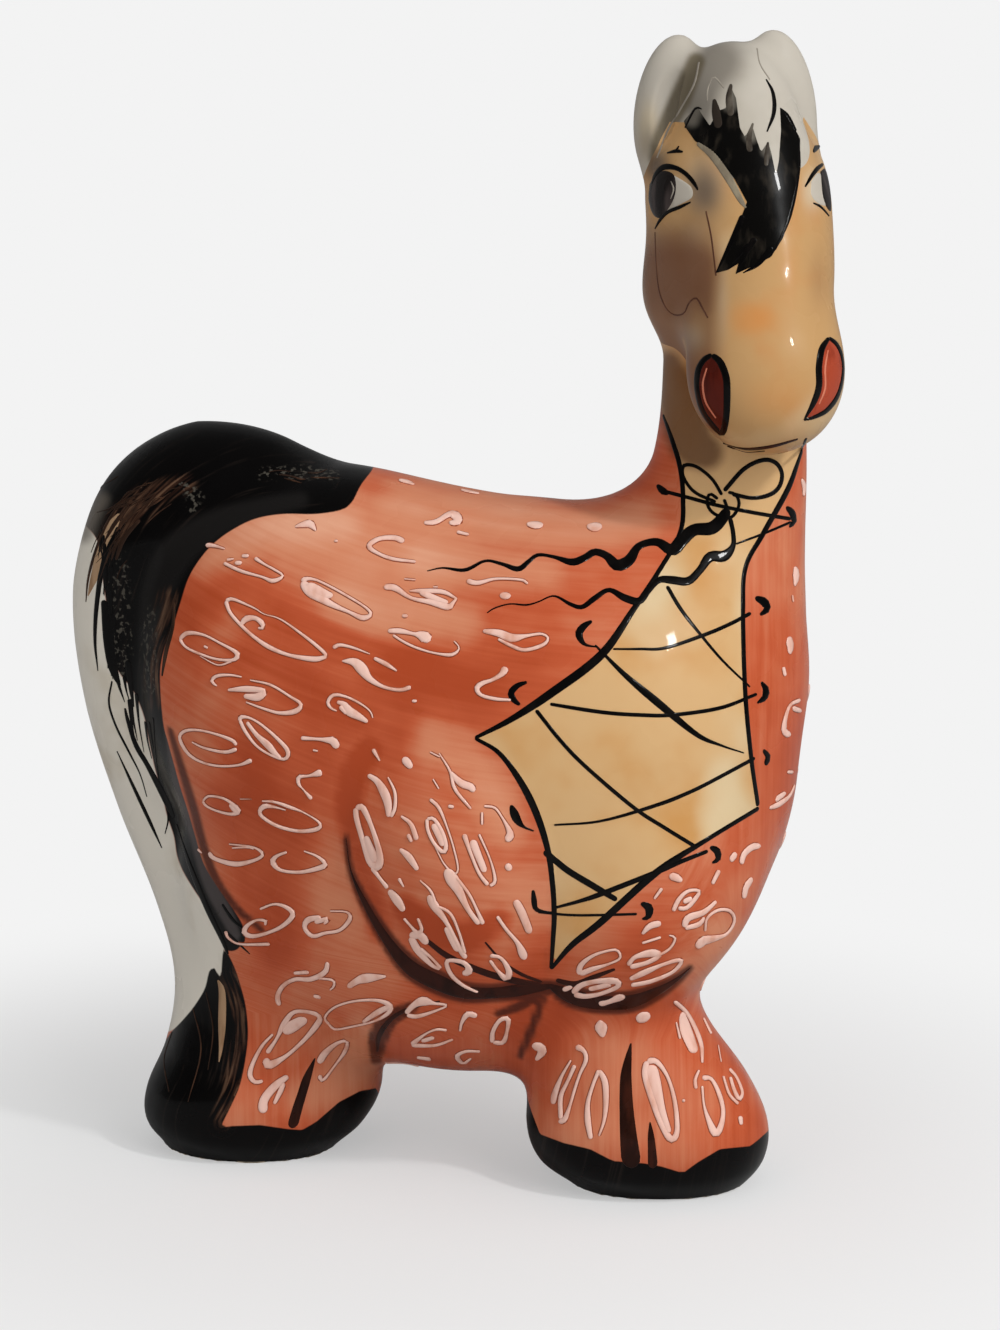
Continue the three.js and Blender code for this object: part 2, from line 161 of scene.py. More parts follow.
def above(shape, height, rounding=8):
    return lambda p: -soft_least(-shape(p), p[:, 2] - height, rounding)


BODY_AT = np.array([4.5, 3, 90.5])
FORE_FEET = (43, -12, 0)
HIND_FEET = (-46, 14, 0)
NECK_AT = BODY_AT + (56.5, -3, 99.5)
TAIL_AT = BODY_AT + (-77.5, 20, 49.5)
SKULL_AT = NECK_AT + (-0.5, -1, 32)
HEAD_YAW = 12

body = joined(
    egg(BODY_AT, (132, 92, 130), (-16, 0, 0)),
    (egg(BODY_AT + (-36.5, 11, 23.5), (85, 76, 95), (0, -12, 0)), 18),
    (egg(BODY_AT + (32.5, -7, 13), (75, 74, 91)), 18),
    (egg(BODY_AT + (-6.5, -1, -31.5), (88, 64, 64)), 16),
)
right_lobe = egg(BODY_AT + (-2, -24, -8.5), (55, 54, 71), (0, -18, 0))
left_lobe = egg(BODY_AT + (33, -23, -14), (59, 54, 68), (0, 20, 0))
fore_legs = below(column(FORE_FEET, [
    (-10, 0, 0, 10, 9), (0, 2, 0, 20, 16.5), (6, 0.5, 0, 26, 21.5), (14, -0.5, 0, 27.5, 23.5),
    (24, -2, 0.5, 24.5, 22), (36, -6.5, 1, 20.5, 20), (48, -9.5, 2, 18, 19), (62, -9, 4, 20.5, 20),
], 2.2), 66)
hind_legs = below(column(HIND_FEET, [
    (-10, 1, 0, 10, 9), (0, -2.5, 0, 19, 17), (6, -2.5, 0, 25.5, 21.5), (14, -0.5, 0, 27.5, 23.5),
    (24, 1, 0, 24, 22.5), (36, 4, 0, 23, 22), (48, 4.5, 0, 22.5, 22), (62, 4.5, 0, 23.5, 24),
], 2.2), 72)
neck = above(below(column(NECK_AT, [
    (-106, -22.5, 0, 13, 12), (-80, -14.5, 0, 26.5, 24), (-60, -8.5, 0, 24.5, 23), (-40, -4, 0, 20.5, 19),
    (-24, -0.5, 0, 17, 17), (0, 0, 0.5, 15.5, 16.5), (25, 0, 1, 15.5, 16),
]), NECK_AT[2] + 34), NECK_AT[2] - 104)
castings = joined(
    body,
    (lambda p: np.minimum(right_lobe(p), left_lobe(p)), 5),
    (hind_legs, 14),
    (fore_legs, 10),
    (neck, 14),
)
tail = joined(
    below(column(TAIL_AT, [
        (-136, 13, -5, 10.5, 14), (-120, 14.5, -4, 9.5, 16), (-102, 15.5, -1, 10, 15.5),
        (-84, 12.5, 1, 11.5, 15), (-60, 5.5, 2, 13.5, 17), (-35, 0, 2, 15, 19), (-10, 0, 1, 17, 20),
        (10, 5.5, 0, 18, 21), (26, 12.5, -1, 20, 20),
    ]), TAIL_AT[2] + 28, 34),
    (egg(BODY_AT + (-56.5, 17, 53.5), (60, 44, 49), (0, 8, 0)), 10),
)
skull = joined(
    egg(SKULL_AT, (39, 40, 46), (HEAD_YAW, 0, -14)),
    (egg(SKULL_AT + (-1, -1, -19.5), (38, 38, 34), (HEAD_YAW, 0, -10)), 8),
    (egg(SKULL_AT + (5.5, -15, -14.5), (29, 28, 66), (HEAD_YAW, 0, -24)), 12),
    (egg(SKULL_AT + (5.5, -25, -37), (33, 30, 33), (HEAD_YAW, 0, -22)), 10),
)
hair = joined(
    egg(SKULL_AT + (-0.5, 0, 19), (27, 26, 30)),
    (egg(SKULL_AT + (4, -14, 8), (23, 14, 42), (HEAD_YAW, 0, -24)), 6),
)
mane = egg(SKULL_AT + (-1, 15, -13), (13, 17, 78), (0, 0, 3))


def ear(at, size, lean):
    """An upright leaf with its hollow scooped out of the front."""
    leaf = egg(at, size, (0, lean, 0))
    scoop = egg(np.array(at) - (0, size[1] / 2, 0), (size[0] * 0.55, 4.4, size[2] * 0.6), (0, lean, 0))
    return lambda p: -soft_least(-leaf(p), scoop(p), 1)


right_ear = ear(SKULL_AT + (-14, 1, 19), (16, 12, 33), 7)
left_ear = ear(SKULL_AT + (9.5, 1, 18), (17, 12, 37), -5)


def on_table(shape):
    return lambda p: np.maximum(shape(p), -p[:, 2])


head_parts = (skull, 4), (hair, 3), (mane, 2.5), (right_ear, 3), (left_ear, 3)
whole_body = on_table(joined(castings, (tail, 5), (skull, 4), (mane, 2.5)))
whole_head = joined(castings, *head_parts)
whole = on_table(joined(castings, (tail, 5), *head_parts))


def slope(field, p):
    """The unit normals of the field at points, from central differences."""
    out = np.empty_like(p)
    for axis in range(3):
        aside = np.zeros(3)
        aside[axis] = GAP
        out[:, axis] = field(p + aside) - field(p - aside)
    return out / np.maximum(np.linalg.norm(out, axis=1, keepdims=True), 1e-12)


def drawn(field, p, rounds=3, most=0.6):
    """Points drawn along the field's slope onto its surface, in rounds of at most so many millimetres."""
    p = p.copy()
    for _ in range(rounds):
        here = field(p)
        grad = np.stack([field(p + GAP * axis) - here for axis in np.eye(3)], 1) / GAP
        move = np.clip(here / np.maximum((grad**2).sum(1), 0.2), -most, most)
        p -= grad * move[:, None]
    return p


# Surface meshes

UNITS = np.eye(3, dtype=int)


def field_grid(field, low, blocks, cell):
    """The field's values on a grid, fine only in the blocks near the surface."""

    def spread(grid):
        return grid.repeat(COARSE, 0).repeat(COARSE, 1).repeat(COARSE, 2)

    centres = [(np.arange(n) + 0.5) * cell * COARSE for n in blocks]
    middle = np.stack(np.meshgrid(*centres, indexing="ij"), -1)
    rough = field(middle.reshape(-1, 3) + low).reshape(blocks)
    value = spread(np.sign(rough) * AWAY).astype(float)
    spots = np.argwhere(spread(np.abs(rough) < cell * COARSE * BLOCK_REACH))
    value[tuple(spots.T)] = field(low + spots * cell)
    return value


def crossed_cells(value):
    """The cells of a grid that the surface crosses, and the mean place of the crossings on each one's edges."""
    inside = value < 0
    corners = [(i, j, k) for i in (0, 1) for j in (0, 1) for k in (0, 1)]
    held = sum(inside[tuple(slice(c, n - 1 + c) for c, n in zip(corner, value.shape))].astype(int)
               for corner in corners)
    cells = np.argwhere((held > 0) & (held < 8))
    total = np.zeros((len(cells), 3))
    hits = np.zeros((len(cells), 1))
    for start in np.array(corners):
        for end in start + UNITS[start == 0]:
            a = value[tuple((cells + start).T)]
            b = value[tuple((cells + end).T)]
            cross = ((a < 0) != (b < 0))[:, None]
            t = (a / np.where(a == b, 1, a - b))[:, None]
            total += np.where(cross, start + t * (end - start), 0)
            hits += cross
    return cells, cells + total / hits


def crossed_quads(value, cells):
    """A quad of four cells' numbers round every edge of the grid that the surface crosses."""
    inside = value < 0
    number = np.full(value.shape, -1)
    number[tuple(cells.T)] = np.arange(len(cells))
    faces = []
    for axis in range(3):
        along, u, v = (UNITS[(axis + n) % 3] for n in range(3))
        first = tuple(slice(1 - step, n - 1) for step, n in zip(along, value.shape))
        shifted = tuple(slice(1, n - 1 + step) for step, n in zip(along, value.shape))
        nodes = np.argwhere(inside[first] != inside[shifted]) + 1 - along
        quad = np.stack([number[tuple((nodes - s * u - t * v).T)]
                         for s, t in ((0, 0), (1, 0), (1, 1), (0, 1))], 1)
        flip = ~inside[tuple(nodes.T)]
        quad[flip] = quad[flip][:, ::-1]
        faces.append(quad[(quad >= 0).all(1)])
    return np.concatenate(faces)


def skin(field, low, high, cell):
    """Points and triangles of the field's surface inside a box: one point in each cell that it crosses."""
    low = np.array(low, float)
    blocks = np.ceil((np.array(high) - low) / (cell * COARSE)).astype(int)
    value = field_grid(field, low, blocks, cell)
    cells, places = crossed_cells(value)
    quads = crossed_quads(value, cells)
    points = drawn(field, low + places * cell, 4, cell / 2)

    def diagonal(a, b):
        return np.linalg.norm(points[quads[:, a]] - points[quads[:, b]], axis=1)

    short = (diagonal(0, 2) < diagonal(1, 3))[:, None]
    one = np.where(short, quads[:, [0, 1, 2]], quads[:, [0, 1, 3]])
    two = np.where(short, quads[:, [0, 2, 3]], quads[:, [1, 2, 3]])
    return points, np.concatenate([one, two])


def parted(points, faces, measure, field):
    """A surface cut along measure = 0: its points with those on the cut, and the faces on either side."""
    side = measure(points)
    sign = np.where(side < 0, -1, 1)
    least, most = sign[faces].min(1), sign[faces].max(1)
    low, high = list(faces[most < 0]), list(faces[least > 0])
    extra, made = [], {}

    def on_cut(a, b):
        key = (min(a, b), max(a, b))
        if key not in made:
            made[key] = len(points) + len(extra)
            extra.append(points[a] + (points[b] - points[a]) * (side[a] / (side[a] - side[b])))
        return made[key]

    for face in faces[least != most]:
        lone = [n for n in range(3) if (sign[face] == sign[face[n]]).sum() == 1][0]
        a, b, c = np.roll(face, -lone)
        p, q = on_cut(a, b), on_cut(a, c)
        one, two = (low, high) if sign[a] < 0 else (high, low)
        one.append((a, p, q))
        two.extend([(p, b, c), (p, c, q)])
    if extra:
        points = np.vstack([points, drawn(field, np.array(extra))])
    return points, np.array(low, int).reshape(-1, 3), np.array(high, int).reshape(-1, 3)


def used_only(points, faces):
    """The faces with only the points that they use."""
    used, faces = np.unique(faces, return_inverse=True)
    return points[used], faces.reshape(-1, 3)


def thickened(points, faces, normals, depth=CLAY):
    """A closed skin: the outer face, the same face pushed inward and turned over, and the rim between."""
    # The rim is made of the edges that only one face uses
    edges = np.concatenate([faces[:, [0, 1]], faces[:, [1, 2]], faces[:, [2, 0]]])
    _, which, times = np.unique(np.sort(edges, 1), axis=0, return_inverse=True, return_counts=True)
    rim = edges[times[which.reshape(-1)] == 1]
    n = len(points)
    wall = np.concatenate([
        np.stack([rim[:, 1], rim[:, 0], rim[:, 0] + n], 1),
        np.stack([rim[:, 1], rim[:, 0] + n, rim[:, 1] + n], 1),
    ])
    faces = np.concatenate([faces, faces[:, ::-1] + n, wall])
    return np.vstack([points, points - normals * depth]), faces, np.vstack([normals, -normals])


def add_object(name, data):
    made = bpy.data.objects.new(name, data)
    bpy.context.scene.collection.objects.link(made)
    return made


def add_piece(name, slot, material, points, faces, normals=None, values=None, node=None):
    """A piece of the horse, from points in millimetres with their normals and their own numbers."""
    mesh = bpy.data.meshes.new(name)
    faces = faces.tolist() if isinstance(faces, np.ndarray) else faces
    mesh.from_pydata(((points + SHIFT) * MM).tolist(), [], faces)
    mesh.polygons.foreach_set("use_smooth", [True] * len(mesh.polygons))
    for key, numbers in (values or {}).items():
        layer = mesh.attributes.new(key, "FLOAT", "POINT")
        layer.data.foreach_set("value", np.asarray(numbers, np.float32))
    if normals is not None:
        mesh.normals_split_custom_set_from_vertices(normals.tolist())
    mesh.materials.append(material)
    piece = add_object(name, mesh)
    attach(piece, "root")
    if node:
        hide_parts(node)


# The photograph's view of the form

back = np.array([0, -math.cos(ELEVATION), math.sin(ELEVATION)])
eye = TARGET + back * DISTANCE
up = np.array([0, math.sin(ELEVATION), math.cos(ELEVATION)])
right = np.array([1.0, 0, 0])


def seen(p):
    """Pixels of the photograph at which points of the form appear."""
    q = p - eye
    far = q @ -back * PIXEL / DISTANCE
    return np.stack([PICTURE[0] / 2 + q @ right / far, PICTURE[1] / 2 - q @ up / far], 1)


# Where the search for the form begins and how far it goes, in millimetres from the eye, and its most steps
SEARCH_FROM, SEARCH_REACH, SEARCH_ROUNDS = 640.0, 300.0, 70


def landed(pixels):
    """Points of the form under pixels. A pixel just outside takes the nearest point of the edge."""
    pixels = np.asarray(pixels, float)
    ray = -back + (pixels[:, :1] - PICTURE[0] / 2) * PIXEL / DISTANCE * right
    ray = ray - (pixels[:, 1:] - PICTURE[1] / 2) * PIXEL / DISTANCE * up
    ray /= np.linalg.norm(ray, axis=1, keepdims=True)
    travel = np.full(len(ray), SEARCH_FROM)
    best, best_at = np.full(len(ray), ENDLESS), travel.copy()
    for _ in range(SEARCH_ROUNDS):
        d = whole(eye + ray * travel[:, None])
        closer = d < best - 1e-6
        best, best_at = np.where(closer, d, best), np.where(closer, travel, best_at)
        travel = travel + np.where(travel < SEARCH_FROM + SEARCH_REACH, np.clip(d * 0.8, -2, 12), 0)
    return drawn(whole, eye + ray * best_at[:, None], 4, 4)


# Colours and materials

MIX_A, MIX_B, MIX_OUT = 6, 7, 2  # a mixing node's places for colours
PLAIN_A, PLAIN_B = 2, 3  # and for plain numbers


def shade(text):
    """A written colour in the linear numbers that a shader takes."""
    parts = [int(text[i:i + 2], 16) / 255 for i in (0, 2, 4)]
    linear = [c / 12.92 if c <= 0.04045 else ((c + 0.055) / 1.055) ** 2.4 for c in parts]
    return (*linear, 1)


def feed(tree, node, inputs):
    """Gives a node its inputs, each a number, a colour or the output of another node."""
    for key, value in inputs.items():
        if isinstance(value, bpy.types.NodeSocket):
            tree.links.new(value, node.inputs[key])
        else:
            node.inputs[key].default_value = value


def mixed(tree, one, two, amount):
    """A mix of two colours, each written or the output of a node."""
    one, two = [shade(c) if isinstance(c, str) else c for c in (one, two)]
    made = tree.nodes.new("ShaderNodeMix")
    made.data_type = "RGBA"
    feed(tree, made, {"Factor": amount, MIX_A: one, MIX_B: two})
    return made.outputs[MIX_OUT]


def eased(tree, value, low, high, least=0.0, most=1.0):
    """A value taken smoothly from least at low to most at high."""
    made = tree.nodes.new("ShaderNodeMapRange")
    made.interpolation_type = "SMOOTHSTEP"
    feed(tree, made, {"Value": value, "From Min": low, "From Max": high, "To Min": least, "To Max": most})
    return made.outputs["Result"]


def worked_out(tree, kind, a, b):
    """Two values added or multiplied."""
    made = tree.nodes.new("ShaderNodeMath")
    made.operation = kind
    feed(tree, made, {0: a, 1: b})
    return made.outputs[0]


class Paint:
    """A glaze material whose colour is laid on in coats."""

    def __init__(self, name, ground, coat=0.1):
        self.made = bpy.data.materials.new(name)
        self.made.use_nodes = True
        self.tree = self.made.node_tree
        self.place = self.tree.nodes.new("ShaderNodeTexCoord").outputs["Object"]
        self.colour = ground
        wave = self.tree.nodes.new("ShaderNodeBump")
        feed(self.tree, wave, {"Strength": 0.35, "Distance": 0.0006, "Height": self.noise(70, 2)})
        feed(self.tree, self.tree.nodes["Principled BSDF"], {
            "Coat Weight": coat,
            "Coat Roughness": 0.03,
            "Specular IOR Level": 0.07,
            "Roughness": eased(self.tree, self.noise(55), 0.3, 0.7, 0.22, 0.38),
            "Normal": wave.outputs["Normal"],
            "Coat Normal": wave.outputs["Normal"],
        })

    def marks(self, place, scale, detail):
        made = self.tree.nodes.new("ShaderNodeTexNoise")
        feed(self.tree, made, {"Vector": place, "Scale": scale, "Detail": detail})
        return made.outputs["Fac"]

    def noise(self, scale, detail=3, stretch=(1, 1, 1), turn=0.0, seed=0.0):
        """Cloudy noise, or brush marks where it is stretched. The scale is in marks per metre."""
        mapping = self.tree.nodes.new("ShaderNodeMapping")
        rotation = (0, math.radians(turn), 0)
        feed(self.tree, mapping, {
            "Vector": self.place, "Scale": stretch, "Rotation": rotation, "Location": (seed, seed, seed),
        })
        return self.marks(mapping.outputs["Vector"], scale, detail)

    def brushed(self, across, along, detail=3, ways=""):
        """Brush marks that follow the surface's own directions, in marks per millimetre across and along."""
        joint = self.tree.nodes.new("ShaderNodeCombineXYZ")
        feed(self.tree, joint, {
            0: worked_out(self.tree, "MULTIPLY", self.number(ways + "across"), across),
            1: worked_out(self.tree, "MULTIPLY", self.number(ways + "along"), along),
        })
        return self.marks(joint.outputs[0], 0.6, detail)

    def number(self, name):
        """The mesh's own number at a point."""
        made = self.tree.nodes.new("ShaderNodeAttribute")
        made.attribute_name = name
        return made.outputs["Fac"]

    def total(self, first, *others):
        """The sum of values, each given with its weight."""
        result = worked_out(self.tree, "MULTIPLY", *first)
        for part in others:
            result = worked_out(self.tree, "ADD", result, worked_out(self.tree, "MULTIPLY", *part))
        return result

    def amount(self, value, low=0.0, high=1.0, most=1.0):
        """How much of a coat a value calls for: none at low, most at high. The value may be a mesh's number."""
        value = self.number(value) if isinstance(value, str) else value
        return eased(self.tree, value, low, high, 0.0, most)

    def blend(self, one, two, amount):
        """A mix of two colours, for use as the colour of a coat."""
        return mixed(self.tree, one, two, amount)

    def coat(self, colour, *amount, **limits):
        """Lays a colour over what is there, by what amount() makes of the rest."""
        self.colour = mixed(self.tree, self.colour, colour, self.amount(*amount, **limits))

    def done(self):
        feed(self.tree, self.tree.nodes["Principled BSDF"], {"Base Color": self.colour})
        return self.made


def coat_paint():
    """Coral with brush marks, and the ochre panel, the black feet and the black and white tail."""
    paint = Paint("coral_glaze", "bf5a38")
    # The coral's lightness: brush marks and clouds, paler coral that is partly painted light, and darker coral
    # that is partly painted shade
    light = paint.total(
        (paint.brushed(1.0, 0.05), 0.36), (paint.noise(34, seed=3), 0.9), (paint.brushed(3.2, 0.14, 4), 0.12),
        (paint.number("tone"), 1.0), (paint.number("pale"), 0.3), (paint.number("deep"), -0.32),
    )
    paint.coat("cf8462", light, 0.6, 1.02)
    paint.coat("a94423", light, 0.71, 0.4, 0.85)
    paint.coat("dda486", light, 0.94, 1.38, 0.8)
    # The laced panel in ochre with pale clouds, then the shadows in the creases and on the neck
    ochre = paint.blend("cfa877", "c58f52", paint.amount(paint.noise(40, seed=9), 0.42, 0.72))
    pale = paint.blend("dcc9a4", "cfb890", paint.noise(60, 2, seed=6))
    ochre = paint.blend(ochre, pale, paint.amount(paint.noise(30, 2, seed=21), 0.5, 0.68, 0.8))
    paint.coat(ochre, "panel", -0.15, 0.15)
    paint.coat("451d13", "shade", most=0.9)
    paint.coat("553220", "neck_shade", most=0.8)
    # The white tail
    white = paint.blend("dcd5c8", "c4b8a4", paint.amount(paint.noise(50, seed=2), 0.5, 0.8))
    paint.coat(white, "white", -0.3, 0.3)
    # The black, greyer in a band along its top edge, with a painted highlight along the groove beside the tail,
    # and rusty where the brush ran dry
    grain = paint.brushed(1.8, 0.12, 4, "band_")
    rust = paint.blend("321d14", "6b4f3c", paint.amount(grain, 0.5, 0.7))
    rusty = worked_out(paint.tree, "MULTIPLY", paint.number("rusty"), paint.amount(grain, 0.38, 0.6))
    tarry = paint.blend("050404", "1b1512", paint.amount(grain, 0.56, 0.75))
    tarry = paint.blend(tarry, "1a1817", paint.amount("thin", most=0.85))
    tarry = paint.blend(tarry, "4d4645", paint.amount("groove_highlight", most=0.8))
    tarry = paint.blend(tarry, rust, paint.amount(rusty, 0.05, 0.8, 0.75))
    paint.coat(tarry, "black", -0.15, 0.15)
    specks = paint.amount(paint.noise(900, seed=5), 0.5, 0.66)
    dry = worked_out(paint.tree, "MULTIPLY", paint.number("dry"), specks)
    paint.coat("6a655b", dry, 0.1, 0.9, 0.4)
    paint.coat("6b6258", "ash", most=0.75)
    # Unglazed clay where the feet stand on the table
    paint.coat("c9b79d", "bare", 0.3, 0.7)
    return paint.done()


def face_paint():
    paint = Paint("ochre_glaze", "ba9262")
    paint.coat("c07b40", paint.noise(48, seed=4), 0.5, 0.78, 0.6)
    paint.coat("d0b690", paint.noise(36, 2, seed=11), 0.52, 0.7, 0.6)
    paint.coat("c9813f", "warm", 0.1, 1.0, 0.5)
    paint.coat("c8b79c", "pale", most=0.85)
    # The cheek's tint and painted shade on the face's left side, brow and jaw, then grey that is partly painted
    # shade on the brow
    paint.coat("6b4434", "cheek_tint_and_shade", most=0.85)
    paint.coat("5a5048", "grey", most=0.85)
    return paint.done()


def lock_paint():
    """Black brushed down the lock, thin and grey at its tips."""
    paint = Paint("forelock_black", "080706")
    paint.coat("453d33", paint.noise(420, 3, (1, 1, 0.12), -18), 0.5, 0.8, 0.35)
    paint.coat("6f695f", "tip", most=0.8)
    return paint.done()


def hair_paint():
    paint = Paint("hair_glaze", "b9b2a6")
    paint.coat("a69d8e", paint.noise(60, seed=8), 0.45, 0.75, 0.6)
    paint.coat("c0ae8c", "beige", 0.1, 1.0, 0.6)
    # Grey, mostly painted shade on the left ear
    paint.coat("6f685e", "grey", most=0.8)
    # Olive painted shade in the left ear's hollow
    paint.coat("5d5340", "ear_hollow_shade", most=0.85)
    return paint.done()


def line_paint(name, colour, other, coat=0.1):
    paint = Paint(name, colour, coat)
    paint.coat(other, paint.noise(300, 3, (1, 1, 0.3)), 0.45, 0.75)
    return paint.done()


# Brushed and trailed lines

def curve(points, per_span=8):
    """A smooth curve through points, with the same number of steps between each pair."""
    p = np.array(points, float)
    p = np.vstack([2 * p[0] - p[1], p, 2 * p[-1] - p[-2]])
    t = np.linspace(0, 1, per_span, endpoint=False)[:, None]
    out = []
    for a, b, c, d in zip(p, p[1:], p[2:], p[3:]):
        out.append(0.5 * (2 * b + (c - a) * t + (2 * a - 5 * b + 4 * c - d) * t**2
                          + (3 * b - a - 3 * c + d) * t**3))
    return np.vstack([*out, p[-2:-1]])


SECTION = np.array([-1, -0.85, -0.5, 0, 0.5, 0.85, 1])  # across a line, in half widths
ENDS = np.array([0, 0.15, 0.5, 1])  # sections of a round end, in half widths from its tip
LEAST_HALF = 0.3  # half width of the finest line, in pixels


def widths_kept(line):
    """The points of a line, where one without a width keeps the one before."""
    out = []
    for x, y, *own in line:
        width = own[0] if own else width
        out.append((x, y, width))
    return out


def wider(lines, by=0.0, times=1.0):
    return [[(x, y, w * times + by) for x, y, w in widths_kept(line)] for line in lines]


def smooth_line(points):
    """A smooth curve through pixels with whole widths: sections at an even pitch, round at both ends."""
    fine = curve(widths_kept(points), 10)
    run = np.concatenate([[0], np.cumsum(np.linalg.norm(np.diff(fine[:, :2], axis=0), axis=1))])
    half = np.maximum(fine[:, 2] / 2, LEAST_HALF)
    start = ENDS * min(half[0], run[-1] / 3)
    stop = run[-1] - ENDS * min(half[-1], run[-1] / 3)
    count = max(int((stop[-1] - start[-1]) / (STEP / PIXEL)), 1)
    s = np.concatenate([start, np.linspace(start[-1], stop[-1], count + 1)[1:-1], stop[::-1]])
    half = np.interp(s, run, half)
    cut = np.clip(np.minimum(s / half[0], (run[-1] - s) / half[-1]), 0, 1)
    half *= np.sqrt(np.maximum(1 - (1 - cut) ** 2, 0.01))
    return np.stack([np.interp(s, run, fine[:, 0]), np.interp(s, run, fine[:, 1])], 1), half


def about(x, y, turn, marks):
    """Marks of a distance along and across and a width, turned about a pixel."""
    cos, sin = math.cos(turn), math.sin(turn)
    return [(x + along * cos - across * sin, y + along * sin + across * cos, w) for along, across, w in marks]


def ring(x, y, length, width, tilt, line, fat):
    """A trailed loop that wavers a little and is fatter where it begins, as pixels with widths."""
    pinch, sway, swell = rng.uniform(-0.3, 0.3), rng.uniform(0, 6.3), rng.uniform(0, 6.3)
    whole_turn = rng.uniform(0.9, 1.02)
    marks = []
    for n in range(15):
        t = 2 * math.pi * whole_turn * n / 14
        reach = 1 + 0.06 * math.sin(3 * t + sway)
        along = -math.cos(t) * length / 2 * reach
        across = math.sin(t) * width / 2 * reach * (1 - pinch * math.cos(t))
        thick = line * (fat + (0.85 - fat) * min(n / 5, 1)) * (1 + 0.3 * math.sin(2 * t + swell))
        marks.append((along, across, thick))
    return about(x, y, math.radians(tilt), marks)


def dab(x, y, length, width, tilt):
    """A short fat mark with a thinner tail, as pixels with widths."""
    reach = max(length - width, 1) / 2
    bend = rng.uniform(-0.12, 0.12) * length
    shares = (-1, 0.75), (-0.3, 1), (0.4, 0.8), (1, 0.45)
    marks = [(t * reach, bend * (1 - t * t), width * share) for t, share in shares]
    return about(x, y, math.radians(tilt), marks)


class Brush:
    """Lines and filled areas of one paint, gathered first and then laid on the form together."""

    def __init__(self, name, slot, material, rise):
        self.name, self.slot, self.material, self.rise = name, slot, material, rise
        self.runs, self.areas = [], []

    def lines(self, lines):
        """Lines through pixels of the photograph, each pixel with a whole width."""
        for points in lines:
            place, half = smooth_line(points)
            self.runs.append([place, half, None])

    def trail(self, centres, half):
        """A line through points near the form, in millimetres, with half its width at each."""
        self.runs.append([None, half / PIXEL, centres])

    def area(self, outline):
        """A filled area inside an outline of pixels that its middle sees all of."""
        edge = curve(outline + outline[:1], 5)[:-1]
        middle = edge.mean(0)
        shares = [1, 0.94, *np.linspace(0.8, 0.16, 5)]
        self.areas.append([middle + (edge - middle) * share for share in shares] + [middle[None]])

    def lay(self):
        """Builds the closed mesh of everything gathered."""
        flat = [place for place, _, _ in self.runs if place is not None]
        flat += [row for rings in self.areas for row in rings]
        stops = np.cumsum([len(pixels) for pixels in flat])[:-1]
        spots = iter(np.split(landed(np.vstack(flat)), stops)) if flat else None
        for run in self.runs:
            run[2] = next(spots) if run[2] is None else run[2]
        areas = [[next(spots) for _ in rings] for rings in self.areas]
        points, faces = [], []
        if self.runs:
            self.lay_runs(points, faces)
        for rings in areas:
            self.lay_area(rings, points, faces)
        add_piece(self.name, self.slot, self.material, np.vstack(points), faces)

    def lay_runs(self, points, faces):
        centres = drawn(whole, np.vstack([c for _, _, c in self.runs]), 2)
        half = np.concatenate([h for _, h, _ in self.runs]) * PIXEL
        normals = slope(whole, centres)
        ahead, first = [], 0
        for _, run_half, _ in self.runs:
            ahead.append(np.gradient(centres[first:first + len(run_half)], axis=0))
            first += len(run_half)
        side = np.cross(normals, np.vstack(ahead))
        side /= np.maximum(np.linalg.norm(side, axis=1, keepdims=True), 1e-9)
        # A line on a face that turns from the viewer is wider on it than it looks
        look = np.hypot(side @ right, side @ up)
        half = half / np.maximum(look, 0.6)
        tops = centres[:, None] + side[:, None] * (SECTION[None, :, None] * half[:, None, None])
        tops = drawn(whole, tops.reshape(-1, 3), 2)
        lift = np.minimum(self.rise, half * 0.9)[:, None] * np.sqrt(1 - SECTION**2) + LEAST_RISE
        lift[:, [0, -1]] = -SUNK
        tops += slope(whole, tops) * lift.reshape(-1, 1)
        tops = tops.reshape(-1, len(SECTION), 3)
        under = centres - normals * LINE_ROOT
        width = len(SECTION) + 1
        points.append(np.concatenate([tops, under[:, None]], 1).reshape(-1, 3))
        first = 0
        for _, run_half, _ in self.runs:
            n = len(run_half)
            for row in range(n - 1):
                a = first + row * width
                for k in range(width):
                    j = (k + 1) % width
                    faces.append((a + k, a + width + k, a + width + j, a + j))
            faces.append(tuple(range(first, first + width)))
            faces.append(tuple(range(first + n * width - 1, first + (n - 1) * width - 1, -1)))
            first += n * width

    def lay_area(self, rings, points, faces):
        base = sum(len(p) for p in points)
        n = len(rings[0])
        rows = np.vstack(rings)
        normals = slope(whole, rows)
        lift = np.full(len(rows), self.rise)
        lift[:n], lift[n:2 * n] = -SUNK, self.rise * 0.6
        under = rows[-1] - normals[-1] * AREA_ROOT
        points.append(np.vstack([rows + normals * lift[:, None], under]))
        last = base + len(rows) - 1
        for k in range(n):
            j = (k + 1) % n
            for ring_at in range(len(rings) - 2):
                a = base + ring_at * n
                faces.append((a + k, a + j, a + n + j, a + n + k))
            faces.append((last - n + k, last - n + j, last))
            faces.append((base + j, base + k, last + 1))


# The painted lines. Each point is a pixel of the photograph and the line's whole width there, in pixels.
# A point without a width keeps the one before.

